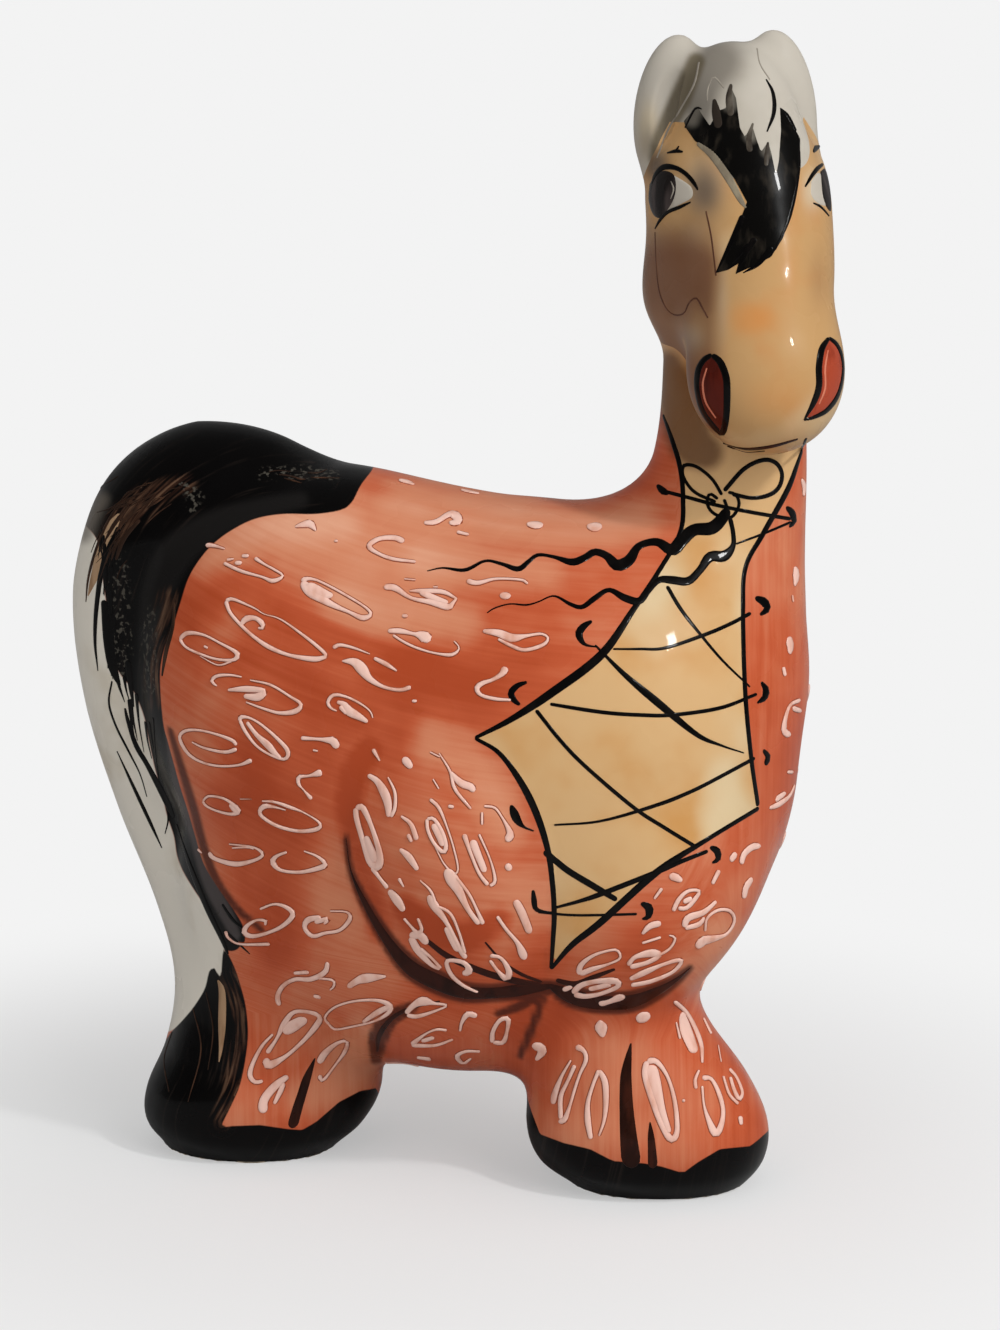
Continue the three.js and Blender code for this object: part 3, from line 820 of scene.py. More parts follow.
LACES = [
    [(663, 491, 3), (690, 498), (716, 505), (750, 512), (791, 519)],
    [(791, 522, 2), (765, 533), (736, 544, 1.5)],
    [(667, 586, 3), (680, 608), (696, 629, 2.5), (722, 660, 2), (750, 687, 1.5)],
    [(613, 649, 1.5), (640, 649, 2), (665, 648, 2.5), (704, 635, 3), (730, 624), (751, 613)],
    [(550, 704, 2.5), (580, 709, 3), (609, 713), (640, 715), (672, 715), (720, 708), (757, 694, 2.5)],
    [(595, 645, 1.5), (625, 675, 4), (657, 702, 6), (696, 734, 4), (720, 745, 2), (744, 753, 1)],
    [(536, 710, 3), (560, 740), (585, 766), (633, 807), (665, 828), (696, 847)],
    [(554, 825, 1.5), (601, 821, 2), (657, 805, 3), (690, 792), (716, 779), (755, 758)],
    [(544, 851, 5), (557, 862), (570, 872), (595, 887), (617, 900, 4)],
    [(554, 908, 2), (580, 901, 3), (601, 894, 4), (657, 872), (680, 862, 3.5), (708, 851, 3)],
    [(538, 912, 2), (570, 915), (601, 915), (637, 914)],
]
EYELETS = [
    [(592, 621, 3), (584, 626, 7), (579, 633, 8), (581, 640, 6), (586, 645, 3), (597, 647, 1.5)],
    [(527, 682, 3), (517, 686, 6), (511, 693, 7), (514, 700, 6), (520, 705, 3)],
    [(511, 805, 3), (514, 813, 9), (518, 821, 8), (524, 827, 3), (534, 831, 1.5)],
    [(533, 890, 3), (534, 900, 6), (536, 909, 5), (545, 912, 3), (554, 912, 1.5)],
    [(657, 485, 4), (663, 491, 8), (669, 494, 4)],
    [(786, 507, 4), (792, 513, 9), (794, 521, 7), (789, 527, 3)],
    [(755, 598, 5), (764, 602, 10), (767, 609, 8), (760, 615, 3)],
    [(761, 682, 3), (766, 690, 8), (764, 698, 7), (757, 703, 2)],
    [(763, 750, 4), (768, 757, 7), (765, 765, 5)],
    [(710, 847, 4), (717, 851, 8), (718, 859, 6), (712, 863, 2)],
    [(641, 903, 4), (649, 908, 9), (648, 917, 6), (642, 919, 2)],
]
BOW = [
    [(722, 495, 3), (712, 479), (697, 467), (685, 465, 3.5), (682, 472), (686, 482, 3), (696, 493),
     (716, 502)],
    [(724, 491, 4), (744, 469), (763, 460), (776, 463), (782, 474), (779, 487), (769, 495), (752, 498, 3.5),
     (732, 494, 4)],
    [(718, 499, 3), (710, 494), (707, 502), (711, 511), (720, 516), (727, 510), (724, 499)],
    [(728, 492, 3), (736, 495), (739, 505), (733, 516), (724, 519)],
]
RIBBONS = [
    [(727, 508, 9), (724, 516, 12), (712, 528, 14), (694, 530, 13), (682, 540, 14), (672, 550, 13),
     (657, 542, 9), (639, 546, 8), (629, 560, 12), (617, 565, 13), (607, 556, 9), (595, 552, 8), (584, 558),
     (572, 562), (554, 557, 4), (538, 555), (528, 562, 5), (518, 569, 6), (502, 564, 4), (485, 561, 3),
     (465, 570, 4), (443, 568, 2), (427, 571, 1)],
    [(730, 518, 5), (733, 532), (733, 546, 6), (724, 556, 12), (710, 557, 11), (700, 570, 8), (688, 581, 9),
     (672, 580), (659, 580, 7), (649, 590, 6), (639, 601, 8), (625, 598), (609, 590, 5), (595, 598, 6),
     (582, 607, 5), (570, 604, 4), (554, 596, 2), (538, 602, 1.5), (526, 605, 2), (510, 604, 1.5), (495, 608),
     (487, 613, 1)],
]
TAIL_STROKES = [
    [(119, 527, 7), (104, 560), (97, 602, 6), (95, 640, 4), (98, 671, 1)],
    [(104, 600, 8), (108, 640, 12), (113, 668, 11), (120, 686, 3)],
    [(128, 660, 8), (131, 688, 6), (134, 707, 1)],
    [(112, 681, 2), (109, 703, 2.5), (116, 726), (128, 750), (140, 774, 1.5), (147, 797, 1)],
    [(125, 708, 2.5), (128, 721, 4.5), (136, 745, 6), (147, 764), (159, 786, 8), (168, 804), (174, 818, 5)],
    [(117, 751, 1), (135, 790, 4), (150, 822), (162, 848, 1)], [(168, 812, 2), (168, 822), (165, 834, 1)],
    [(176, 824, 4), (190, 866, 7), (207, 908), (220, 935, 6), (228, 954, 3)],
    [(222, 904, 3), (233, 920, 4), (246, 931, 1)], [(226, 932, 4), (238, 943, 3), (250, 954, 1)],
]
TAN_STROKES = [
    [(120, 514, 5), (111, 529, 16), (104, 547, 18), (98, 565, 15), (92, 583, 8), (88, 596, 1)],
    [(218, 980, 2), (222, 992, 8), (222, 1022, 9), (221, 1046, 5), (219, 1062, 1)],
]
# Dry brown brush marks at the top of the tail, and painted highlights on the black shin
TAIL_BROWN_AND_SHEEN = [
    [(116, 508, 2), (104, 530, 4), (94, 556), (88, 580, 3), (86, 602, 1)],
    [(112, 545, 1), (106, 562, 2.5), (98, 585, 1)], [(128, 506, 3), (114, 525, 6), (104, 543, 2)],
    [(150, 500, 2), (132, 512, 5), (116, 532, 3)], [(140, 520, 3), (124, 538, 6), (116, 560, 3)],
    [(174, 602, 2), (173, 625, 4), (166, 652, 5), (162, 676, 2)],
    # Painted highlights: thin lighter lines down the black shin
    [(172, 1032, 1), (164, 1060, 1.5), (169, 1092, 1)], [(193, 1008, 1), (201, 1050, 1.5), (188, 1102, 1)],
    [(206, 992, 1), (213, 1030, 1.5), (208, 1070, 1)],
]

# Soft darker and paler strokes inside the coat, among them painted shade, painted highlights and painted light
# Painted shade on the left of the neck, under the jaw
NECK_SHADE_LINES = [
    [(668, 365, 14), (680, 400, 30), (690, 440), (705, 452, 20)],
]
# A greyer band of the black along its top edge
GREYER_BLACK = [
    [(300, 500, 4), (262, 508, 8), (225, 520, 14), (196, 536, 20), (173, 558, 24), (159, 586, 20),
     (152, 615, 14), (149, 640, 6)],
]
DRY_BLACK = [
    [(122, 560, 6), (118, 590, 14), (121, 630, 16), (122, 668, 12)],
    [(150, 612, 3), (149, 650, 8), (150, 690, 4)], [(182, 484, 3), (196, 496, 8), (192, 508, 3)],
    [(262, 474, 3), (300, 472, 6), (334, 475, 3)],
]
ASHY_EDGE = [
    [(100, 500, 2), (90, 516, 5), (84, 534, 3)],
]
# A painted highlight on the black along the groove beside the tail
BLACK_GROOVE_HIGHLIGHT = [
    [(166, 700, 1), (171, 750, 2), (179, 788, 5), (188, 815, 6), (195, 836, 5), (203, 865, 6), (213, 890, 8),
     (226, 914), (236, 936, 3)],
]
RUSTY_BLACK = [
    [(186, 484, 2), (165, 490, 6), (147, 499, 14), (128, 515, 16), (110, 536, 10)],
    [(168, 600, 6), (166, 630, 10), (160, 660, 8), (156, 700, 4)],
    [(232, 968, 4), (239, 1000, 12), (241, 1040), (236, 1088, 10), (224, 1118, 5)],
]
# Painted shade along the left and lower edges of the left lobe
LOBE_SHADE = [
    [(352, 836, 6), (349, 806, 12), (355, 772, 14), (370, 748, 8)],
    [(380, 930, 8), (368, 890, 10), (356, 850, 6)],
    [(404, 906, 8), (430, 928, 14), (462, 938), (500, 920, 10)],
]
# Darker coral across the flank, and painted shade on the belly under the lobes
FLANK_DARK_AND_SHADE = [
    [(190, 610, 8), (240, 590, 16), (290, 612, 20), (350, 650, 22), (420, 678, 18), (480, 690, 10)],
    [(250, 650, 8), (310, 690, 16), (350, 712, 8)], [(250, 760, 10), (290, 850, 14), (280, 960, 10)],
    [(540, 940, 4), (520, 1040, 8), (516, 1070, 6)], [(560, 1010, 6), (545, 1040, 10), (530, 1060, 6)],
]
# Paler coral, partly painted light where the back, the lobes and the front of the hind leg face the light
PALE_AND_LIT_CORAL = [
    [(206, 560, 6), (232, 540, 14), (270, 528, 10), (340, 522, 6)],
    [(400, 500, 6), (470, 515, 16), (560, 530, 12), (640, 520, 6)],
    [(420, 560, 10), (470, 565, 16), (540, 575, 8)],
    [(430, 742, 8), (460, 756, 18), (490, 790, 14), (505, 830, 6)],
    [(690, 978, 10), (712, 962, 16), (724, 936, 8)], [(340, 600, 6), (400, 615, 14), (460, 625, 10)],
    [(364, 1036, 6), (350, 1062, 20), (335, 1085, 18), (300, 1100, 8)],
]

# Strokes on the legs and creases
LEG_STROKES = [
    [(315, 1058, 1.5), (307, 1078, 9), (302, 1094, 10), (297, 1110, 11), (292, 1128, 12)],
    [(631, 1043, 1.5), (628, 1060, 8), (626, 1076, 12), (626, 1096, 14), (627, 1117, 16), (629, 1142, 19),
     (632, 1168, 22)],
    [(650, 1122, 1.5), (651, 1136, 7), (652, 1150, 9), (653, 1168, 11)],
]
LOBE_CREASE = [(346, 838, 2), (351, 871, 3), (366, 905, 8), (387, 940, 12), (410, 967, 18), (437, 982, 20),
               (464, 992, 17), (493, 993, 14), (521, 990, 15), (552, 986, 7)]
CHEST_CREASE = [(548, 985, 6), (570, 995, 19), (594, 1002, 18), (629, 1002), (656, 992, 13), (676, 980, 7),
                (690, 968, 2)]
SHADED_LINES = [
    LOBE_CREASE, CHEST_CREASE, [(376, 1058, 8), (379, 1036, 16), (391, 1018, 12), (411, 1008, 8)],
    [(545, 992, 4), (520, 1006, 5), (497, 1014, 2)], [(543, 998, 3), (532, 1028, 4), (520, 1056, 2)],
    [(170, 730, 1), (182, 770, 3), (194, 810, 4), (203, 845, 4), (216, 880, 4), (236, 908, 3), (262, 930, 1)],
]
INNER_CREASES = [
    [(426, 940, 5), (449, 957, 7), (483, 972, 8), (512, 980), (542, 986, 6)],
    [(485, 942, 2), (502, 961, 3), (521, 974, 4), (542, 982, 3)],
    [(556, 980, 5), (575, 984, 7), (594, 977, 6), (615, 969, 3)],
    [(377, 1052, 3), (379, 1036, 6), (391, 1019, 5), (411, 1008, 4), (440, 1001, 1.5)],
]

# Hair and face
# Painted shade in the hollow between the left ear and the crown
EAR_HOLLOW_SHADE_LINE = [(696, 62, 10), (680, 100, 14), (662, 138, 10), (655, 158, 4)]
FORELOCK = [
    (684, 121), (697, 106), (701, 113), (710, 126), (718, 111), (726, 108), (730, 85), (736, 98), (740, 128),
    (745, 137), (752, 125), (757, 141), (761, 152), (768, 142), (771, 152), (776, 176), (779, 160),
    (781, 130), (780, 108), (790, 119), (800, 139), (800, 165), (796, 195), (790, 218), (783, 238),
    (771, 257), (753, 266), (736, 274), (741, 262), (728, 270), (716, 273), (733, 239), (747, 202),
    (735, 180), (722, 162), (713, 153), (695, 141), (686, 128),
]
LOCK_TIPS = [
    [(730, 86, 3), (730, 104)], [(697, 108, 2), (692, 120, 3)], [(752, 126, 2), (751, 136)],
    [(768, 143, 1), (768, 150, 2)],
]
TIP_STROKES = [
    [(714, 99, 3), (716, 112, 9), (719, 128)], [(731, 84, 3), (729, 98, 7), (731, 116, 8)],
    [(753, 123, 2), (749, 138, 6), (750, 152, 7)], [(768, 142, 2), (767, 154, 6), (766, 166, 5)],
]
HAIR_STROKES = [
    [(743, 215, 6), (729, 247, 5), (716, 273, 1)], [(755, 238, 7), (743, 258, 5), (736, 274, 1)],
    [(772, 247, 7), (758, 264, 5), (743, 273, 1)], [(749, 244, 5), (740, 254, 4), (732, 264, 1)],
    [(798, 135, 2), (799, 169, 3), (790, 215, 4), (775, 250, 2)],
    [(685, 128, 2), (695, 109, 3), (702, 109, 1)],
    [(766, 79, 1.5), (773, 93, 4), (774, 112, 4.5), (767, 132, 1.5)],
    [(780, 108, 1.5), (788, 116, 4), (796, 131, 3)],
]
HAIR_PENCIL = [
    [(707, 101, 1.5), (708, 88), (714, 77), (724, 88)],
    [(699, 62, 2), (694, 84), (680, 110), (668, 130), (657, 158, 1.5)],
    [(757, 48, 1.5), (760, 64), (770, 80)],
]
# A painted shadow along the left edge of the raised lock
FORELOCK_SHADOW_LINE = [
    [(697, 143, 4), (713, 156, 8), (729, 179), (740, 199, 6), (746, 208, 2)],
]
LASHES = [
    [(652, 184, 3), (656, 174, 7), (664, 167), (676, 168, 5), (686, 174, 4.5), (694, 183, 4), (698, 190, 1.5)],
    [(691, 202, 1.5), (680, 207, 4), (668, 212), (660, 220), (655, 229, 1.5)],
    [(667, 153, 1.5), (676, 151, 4.5), (683, 152, 2)], [(676, 151, 3), (679, 146, 1)],
    [(805, 187, 1.5), (811, 177, 4), (817, 169, 5), (823, 164, 3)],
    [(813, 203, 1.5), (821, 207, 3), (829, 216, 2)], [(813, 152, 3), (816, 148, 6), (820, 146, 2)],
]
EYE_WHITES = [
    [(658, 176), (667, 172), (680, 178), (692, 187), (693, 197), (684, 203), (672, 209), (662, 213),
     (656, 200)],
    [(811, 181), (818, 172), (824, 178), (828, 196), (827, 206), (818, 204), (811, 195)],
]
IRISES = [
    [(649, 184), (656, 173), (666, 170), (675, 175), (677, 188), (674, 201), (667, 212), (659, 219),
     (652, 214), (648, 200)],
    [(820, 171), (825, 168), (829, 182), (831, 198), (831, 212), (826, 207), (822, 194)],
]
IRIS_GLINTS = [
    [(671, 181, 1), (674, 189, 1.8), (671, 199, 1)],
]
NOSTRIL_EDGES = [
    [(712, 355, 5), (704, 360, 7), (698, 371), (697, 389), (702, 410, 8), (713, 426), (722, 433, 7),
     (726, 418), (727, 395), (726, 377), (720, 362), (712, 355, 5)],
    [(829, 338, 4), (822, 349, 7), (819, 367), (819, 386), (814, 402, 6), (804, 420, 1.5)],
    [(829, 338, 4), (837, 345, 7), (842, 357), (843, 374), (838, 395), (827, 410, 6), (814, 417, 4),
     (804, 420, 1.5)],
]
NOSTRILS = [
    [(712, 355), (704, 360), (698, 371), (697, 389), (702, 410), (713, 426), (722, 432), (726, 418),
     (727, 395), (726, 377), (720, 362)],
    [(829, 338), (822, 349), (819, 367), (819, 386), (814, 402), (806, 418), (814, 417), (827, 410),
     (838, 395), (843, 374), (842, 357), (837, 345)],
]
NOSTRIL_LIGHTS = [
    [(707, 368, 1.5), (703, 384, 2), (706, 402), (716, 418, 1.5)],
    [(828, 350, 1.5), (825, 368, 2), (825, 388), (819, 404, 1.5)],
]
FACE_LINES = [
    [(723, 443, 2), (738, 448, 4), (753, 449, 4.5), (774, 446, 4), (798, 439, 2)],
    [(727, 446, 1.5), (745, 452, 2), (765, 451, 1.5)],
]
FAINT_LINES = [
    [(706, 211, 1.5), (711, 235), (714, 258), (716, 276)],
    [(655, 232, 1.5), (656, 262), (659, 290), (666, 308), (675, 315), (684, 313, 1.8), (689, 303, 2),
     (696, 298), (702, 307), (708, 318, 1.5)],
]
# The cheek, whose brownish tint is partly painted shade
CHEEK = [(640, 222), (690, 214), (706, 222), (712, 250), (716, 280), (706, 305), (696, 298), (688, 304),
         (684, 313), (670, 312), (650, 300), (640, 270)]
FEATHER_EDGE = [(100, 545), (104, 575), (107, 610), (106, 640), (112, 668), (124, 696), (138, 720),
                (150, 745)]

# The trailed white enamel on the near side, in the same way
ENAMEL = [
    # Back
    [(399, 480, 5), (407, 482, 7), (414, 485, 3)], [(461, 490, 3), (470, 492, 6), (479, 494, 3)],
    [(527, 524, 4), (535, 525, 9), (543, 526, 6)], [(587, 526, 5), (595, 527, 11), (602, 528, 7)],
    [(424, 523, 4), (436, 522, 6), (448, 515, 7), (455, 515, 11), (458, 522, 9), (449, 523, 4)],
    [(457, 532, 4), (469, 535, 3)],
    [(404, 542, 7), (395, 538, 6), (379, 539, 5), (369, 546, 6), (377, 553, 4), (393, 559), (416, 562, 3)],
    [(384, 587, 6), (395, 588, 7), (411, 598, 4), (430, 602, 6), (448, 607, 7), (453, 603, 4),
     (457, 598, 2.5)],
    [(409, 591, 2), (423, 591, 5), (443, 592), (457, 599, 2.5)],
    [(420, 592, 6), (434, 598, 7), (448, 603, 5)], [(404, 579, 2), (416, 580)], [(433, 587, 2), (438, 587)],
    [(402, 616, 4), (408, 616)],
    [(388, 631, 5), (400, 631, 6), (414, 634, 4), (420, 635, 9), (426, 638, 13), (427, 643, 8)],
    [(393, 635, 3), (404, 642), (417, 648), (434, 653, 2.5), (450, 655, 4), (457, 652, 3), (459, 647, 2),
     (454, 641)],
    [(467, 581, 6), (478, 583, 5), (496, 579, 3), (521, 580), (528, 584)],
    [(500, 595, 6), (506, 596, 8), (511, 596, 4)],
    [(483, 631, 4), (498, 633, 8), (512, 638, 9), (526, 636, 4), (541, 634, 3), (548, 638), (543, 645, 4),
     (525, 650), (512, 646), (498, 639, 3)],
    [(506, 667, 11), (502, 674, 6), (492, 680, 4), (483, 683, 5), (477, 688, 6), (481, 695, 4), (496, 699),
     (511, 700, 3)],
    [(412, 701, 4), (417, 701, 3)],
    # Rump and flank
    [(295, 527, 2), (302, 525, 6), (310, 524, 9), (316, 531, 2)],
    [(206, 545, 6), (215, 546, 4), (225, 549, 2)],
    [(224, 563, 4), (241, 571), (262, 577, 3), (273, 581, 5), (283, 576, 3), (275, 570), (264, 564),
     (255, 558, 5)],
    [(227, 560, 4), (234, 559, 2)], [(235, 563, 5), (242, 563)], [(242, 556, 4), (249, 556)],
    [(334, 541, 3), (338, 541)],
    [(302, 582, 8), (306, 579, 5), (316, 580, 3), (331, 587), (349, 597), (365, 607), (371, 614, 4),
     (363, 618, 6), (349, 612, 4), (335, 606, 6), (322, 599, 9), (310, 591, 12), (302, 582, 8)],
    [(306, 585, 12), (319, 593, 14), (333, 596, 5)],
    [(226, 601, 5), (230, 612, 4), (239, 623), (253, 636), (269, 647, 5), (289, 655, 4), (312, 659, 6),
     (322, 658, 5), (326, 655, 4), (317, 646), (299, 632, 3), (280, 619, 2), (264, 614, 1.5), (256, 609, 2),
     (243, 603, 3), (232, 599, 4), (226, 601, 5)],
    [(241, 625, 4), (246, 619, 7), (255, 618, 5), (262, 623, 6), (263, 628, 4), (258, 628, 3)],
    [(180, 639, 5), (188, 633), (204, 635, 3), (220, 643), (233, 650, 4), (238, 655, 6), (233, 660, 4),
     (216, 659, 3), (198, 653), (186, 647), (180, 639, 4)],
    [(200, 656, 1.5), (218, 665, 2), (232, 661, 3)], [(204, 646, 3), (208, 648)],
    [(217, 686, 2), (212, 681, 4), (217, 676), (230, 675, 3), (242, 677, 2)],
    [(250, 680, 2), (271, 685, 3), (291, 697), (301, 704, 4), (296, 711, 6), (280, 713, 4), (262, 708, 3),
     (246, 702, 2)],
    [(228, 690, 3), (246, 689, 7), (264, 691, 6), (258, 697, 9), (244, 696, 5)],
    [(333, 648, 5), (340, 645, 4), (354, 648, 3), (370, 654, 1.5)],
    [(374, 658, 4), (386, 664, 5), (397, 671, 2)],
    [(342, 661, 2), (354, 662, 9), (362, 669, 12), (370, 679, 7), (384, 687, 4), (400, 690), (411, 687, 5)],
    [(337, 711, 2), (331, 708, 3), (328, 702, 4), (334, 695), (347, 697, 3), (361, 704, 2.5), (370, 711, 2),
     (373, 718)],
    [(337, 702, 4), (344, 704, 6), (349, 711, 10), (358, 716, 8), (368, 722, 4)],
    [(340, 706, 6), (347, 714, 4)],
    [(240, 721, 5), (241, 717), (250, 718, 3), (262, 725), (278, 739, 4), (288, 751, 5), (285, 759, 4),
     (271, 755, 3), (257, 746), (246, 732, 4), (240, 720)],
    [(247, 722, 4), (257, 735, 5), (268, 745, 8), (275, 753, 6), (281, 758, 3)],
    [(237, 745, 4), (232, 740), (216, 734, 3), (198, 730), (185, 731, 4), (180, 738), (188, 753),
     (202, 762, 3), (220, 766), (239, 765), (252, 760, 6)],
    [(237, 749, 5), (225, 752, 4), (205, 748, 3), (192, 742, 2)],
    [(301, 738, 5), (317, 739, 3.5), (327, 740, 6), (333, 741, 9), (338, 748, 8)],
    [(322, 772, 12), (316, 774, 6), (308, 776, 3), (299, 777, 5), (299, 784, 4), (303, 789, 2), (312, 799, 5)],
    [(313, 750, 3), (318, 751, 2)],
    [(203, 801, 3), (209, 796), (223, 798), (233, 804, 4), (239, 811, 6), (232, 814, 4), (218, 811, 3),
     (207, 806), (203, 801)],
    [(230, 804, 4), (234, 809, 6), (238, 812)], [(240, 799, 1.5), (252, 799, 1)],
    [(262, 801, 2), (275, 802, 3), (290, 807, 4), (305, 813, 2), (320, 823, 3), (317, 829, 5), (299, 831, 4),
     (278, 826), (263, 817), (260, 811, 5), (265, 806, 6), (275, 807, 3), (286, 810, 2)],
    [(209, 853, 7), (216, 859, 5), (236, 864, 6), (255, 860, 4), (263, 854), (253, 847, 2.5), (229, 844, 2)],
    [(198, 849, 4), (202, 853, 2)], [(232, 848, 2), (248, 847, 3), (254, 849, 2)],
    [(287, 852, 3), (277, 856, 4), (273, 862, 7), (281, 870, 4), (301, 872), (322, 867, 6), (325, 863, 5),
     (317, 856, 3), (304, 851, 2)],
    [(260, 909, 3), (275, 904), (288, 908, 5), (293, 915, 6), (284, 925, 5), (270, 932, 4), (254, 936, 5),
     (245, 933, 7), (247, 926, 5), (257, 920, 3), (266, 921, 4), (265, 925, 3)],
    [(330, 911, 2), (347, 912, 2.5), (350, 919, 5), (340, 930, 4), (325, 933), (313, 936, 5), (305, 928),
     (308, 920, 7), (321, 917, 5)],
    [(315, 922, 6), (328, 919, 5), (324, 924, 3)], [(226, 931, 5), (229, 938, 3), (241, 944), (270, 944, 4)],
    # Hind leg and belly
    [(279, 1005, 7), (278, 995, 6), (284, 985, 5), (296, 979), (311, 979, 6), (325, 972), (328, 962, 5)],
    [(294, 973, 4), (309, 972, 5)], [(318, 978, 3), (333, 980), (334, 986), (330, 990, 2)],
    [(314, 996, 5), (321, 997)], [(348, 987, 6), (357, 981, 8), (367, 978, 11), (386, 976, 3)],
    [(329, 1024, 4), (325, 1017, 3), (335, 1007), (354, 1001), (376, 1000, 4), (390, 1005, 6), (388, 1013, 5),
     (374, 1021, 3), (354, 1026), (336, 1029), (329, 1024)],
    [(363, 1022, 4), (378, 1012, 7), (390, 1006, 6)],
    [(266, 1058, 8), (269, 1065, 10), (286, 1056, 5), (303, 1041), (316, 1026, 7), (320, 1017, 6),
     (310, 1012, 5), (294, 1012), (284, 1024, 7), (277, 1038, 4), (267, 1053, 6)],
    [(284, 1033, 10), (293, 1026, 14), (306, 1018, 10)],
    [(273, 1034, 3), (262, 1046, 4), (253, 1063, 5), (250, 1075, 6), (255, 1082, 5), (263, 1081, 4)],
    [(319, 1063, 8), (325, 1053), (337, 1043, 5), (347, 1041, 4), (345, 1051, 5), (335, 1065, 3),
     (323, 1080, 4), (319, 1075, 6)],
    [(263, 1113, 12), (264, 1100, 10), (275, 1086, 9), (288, 1076, 6)],
    [(274, 1104, 4), (280, 1092, 6), (284, 1083, 5)],
    [(406, 1013, 6), (414, 1005, 7), (424, 1001, 11), (434, 1003, 4), (447, 1005, 3), (437, 1010),
     (418, 1016, 5), (407, 1015)],
    [(412, 1044, 7), (425, 1034, 3), (437, 1029), (447, 1030)],
    [(453, 1039, 3), (435, 1045, 4), (412, 1045, 6)], [(422, 1041, 6), (434, 1037, 5)],
    [(460, 1031, 3), (462, 1022, 4), (468, 1014, 7), (477, 1016, 6)],
    [(492, 1042, 6), (493, 1031, 5), (500, 1020), (508, 1019, 6), (507, 1031, 4), (503, 1042, 6),
     (493, 1042, 5)],
    [(480, 1051, 3), (466, 1051, 4), (457, 1056, 6), (463, 1063, 5), (471, 1058, 3)],
    [(417, 1057, 5), (431, 1059, 7)],
    # Left lobe
    [(373, 749, 5), (380, 761, 2)],
    [(368, 775, 5), (377, 781, 7), (384, 792, 10), (388, 803, 9), (389, 817, 5)],
    [(388, 777, 2), (395, 792, 3.5), (395, 808, 4), (391, 817)],
    [(356, 808, 6), (363, 808, 7), (372, 827, 5), (380, 854, 7), (378, 866, 10), (370, 862, 7), (363, 840, 6),
     (357, 819), (356, 808)],
    [(366, 836, 6), (371, 850, 9), (376, 862, 11)], [(372, 867, 6), (380, 878, 4), (388, 888, 5)],
    [(403, 758, 7), (407, 762, 9), (412, 768, 6)], [(401, 816, 3), (411, 824, 5), (417, 840, 6)],
    [(408, 834, 5), (412, 842, 4)],
    [(427, 819, 4), (434, 819), (442, 832, 5), (446, 846), (443, 852), (434, 843, 4), (428, 830), (427, 819)],
    [(433, 824, 7), (439, 835, 8), (443, 846, 6)],
    [(430, 799, 4), (439, 808), (447, 827, 2.5), (454, 849), (458, 870), (451, 876, 3)],
    [(435, 846, 2), (443, 862), (450, 871, 3)],
    [(446, 869, 8), (452, 879, 14), (459, 891, 10), (468, 909, 6), (479, 924)],
    [(456, 877, 4), (469, 894, 3.5), (477, 910), (483, 924, 6)],
    [(400, 849, 4), (409, 857, 8), (418, 870, 5)], [(420, 880, 2), (431, 891, 3), (436, 905, 4)],
    [(429, 895, 6), (434, 905, 10), (447, 923, 5), (460, 949, 6), (466, 958)],
    [(435, 905, 3), (450, 913, 3.5), (459, 932, 3), (465, 953, 4)],
    [(446, 927, 6), (452, 939, 8), (458, 951, 7)], [(389, 890, 6), (397, 900, 10), (404, 911, 6)],
    [(399, 878, 4), (404, 887, 2)], [(404, 918, 3), (412, 927), (418, 933, 6), (422, 929, 4), (418, 918, 3)],
    [(410, 936, 8), (420, 935, 10), (427, 944, 8)],
    [(411, 937, 8), (418, 950, 9), (431, 964, 5), (440, 969, 3)],
    [(420, 948, 5), (432, 958, 3), (441, 968, 4)],
    [(463, 974, 6), (469, 971, 9), (467, 965, 6), (460, 961, 5), (447, 961), (451, 974), (463, 985, 4),
     (478, 992, 3)],
    [(464, 834, 6), (471, 854, 4), (479, 873), (488, 885, 5)], [(472, 840, 9), (478, 855, 8), (485, 872, 7)],
    [(479, 834, 3), (490, 859, 2.5), (495, 880, 4), (490, 886)],
    [(439, 753, 2), (450, 771, 3), (455, 789, 4), (471, 809, 3)],
    [(450, 772, 4), (461, 783, 8), (471, 787), (474, 792, 6)], [(433, 779, 2), (439, 789)],
    [(430, 752, 2), (440, 757)],
    [(484, 806, 3), (495, 808), (503, 819), (509, 830, 6), (510, 836, 9), (506, 841, 7)],
    [(482, 812, 3), (482, 825)], [(448, 806, 4), (454, 807)], [(506, 864, 8), (511, 870)],
    [(515, 900, 8), (522, 913, 9), (530, 933, 8)],
    [(497, 916, 4), (506, 929), (517, 942, 5), (522, 952, 9), (525, 959, 8)],
    [(490, 955, 5), (501, 958, 4), (509, 971, 7), (506, 978, 8), (498, 971, 4), (490, 960)],
    # Right lobe
    [(579, 974, 7), (581, 965, 6), (592, 956, 4), (606, 951, 3), (617, 950), (620, 958), (608, 964),
     (592, 969, 6), (580, 974, 7)],
    [(628, 965, 6), (635, 957, 5), (651, 953, 9), (659, 955, 7), (648, 962, 5), (630, 967, 6)],
    [(659, 955, 3), (670, 948), (675, 938), (669, 935, 2)], [(642, 943, 3), (661, 937)],
    [(630, 979, 5), (645, 972, 7), (661, 965, 4), (677, 960, 5), (681, 962), (672, 972, 4), (651, 981, 5),
     (631, 985)],
    [(573, 993, 7), (581, 985), (597, 981, 6), (615, 981, 8), (618, 986, 6), (602, 993, 5), (586, 996, 6),
     (574, 994, 7)],
    [(589, 989, 6), (611, 984)], [(563, 990, 7), (572, 986, 5)],
    [(599, 1004, 8), (610, 1001, 6), (618, 998, 9), (624, 995)],
    [(697, 948, 8), (703, 941, 11), (712, 939, 9), (726, 934, 4), (734, 921), (730, 911), (718, 910),
     (707, 918, 3), (705, 931)],
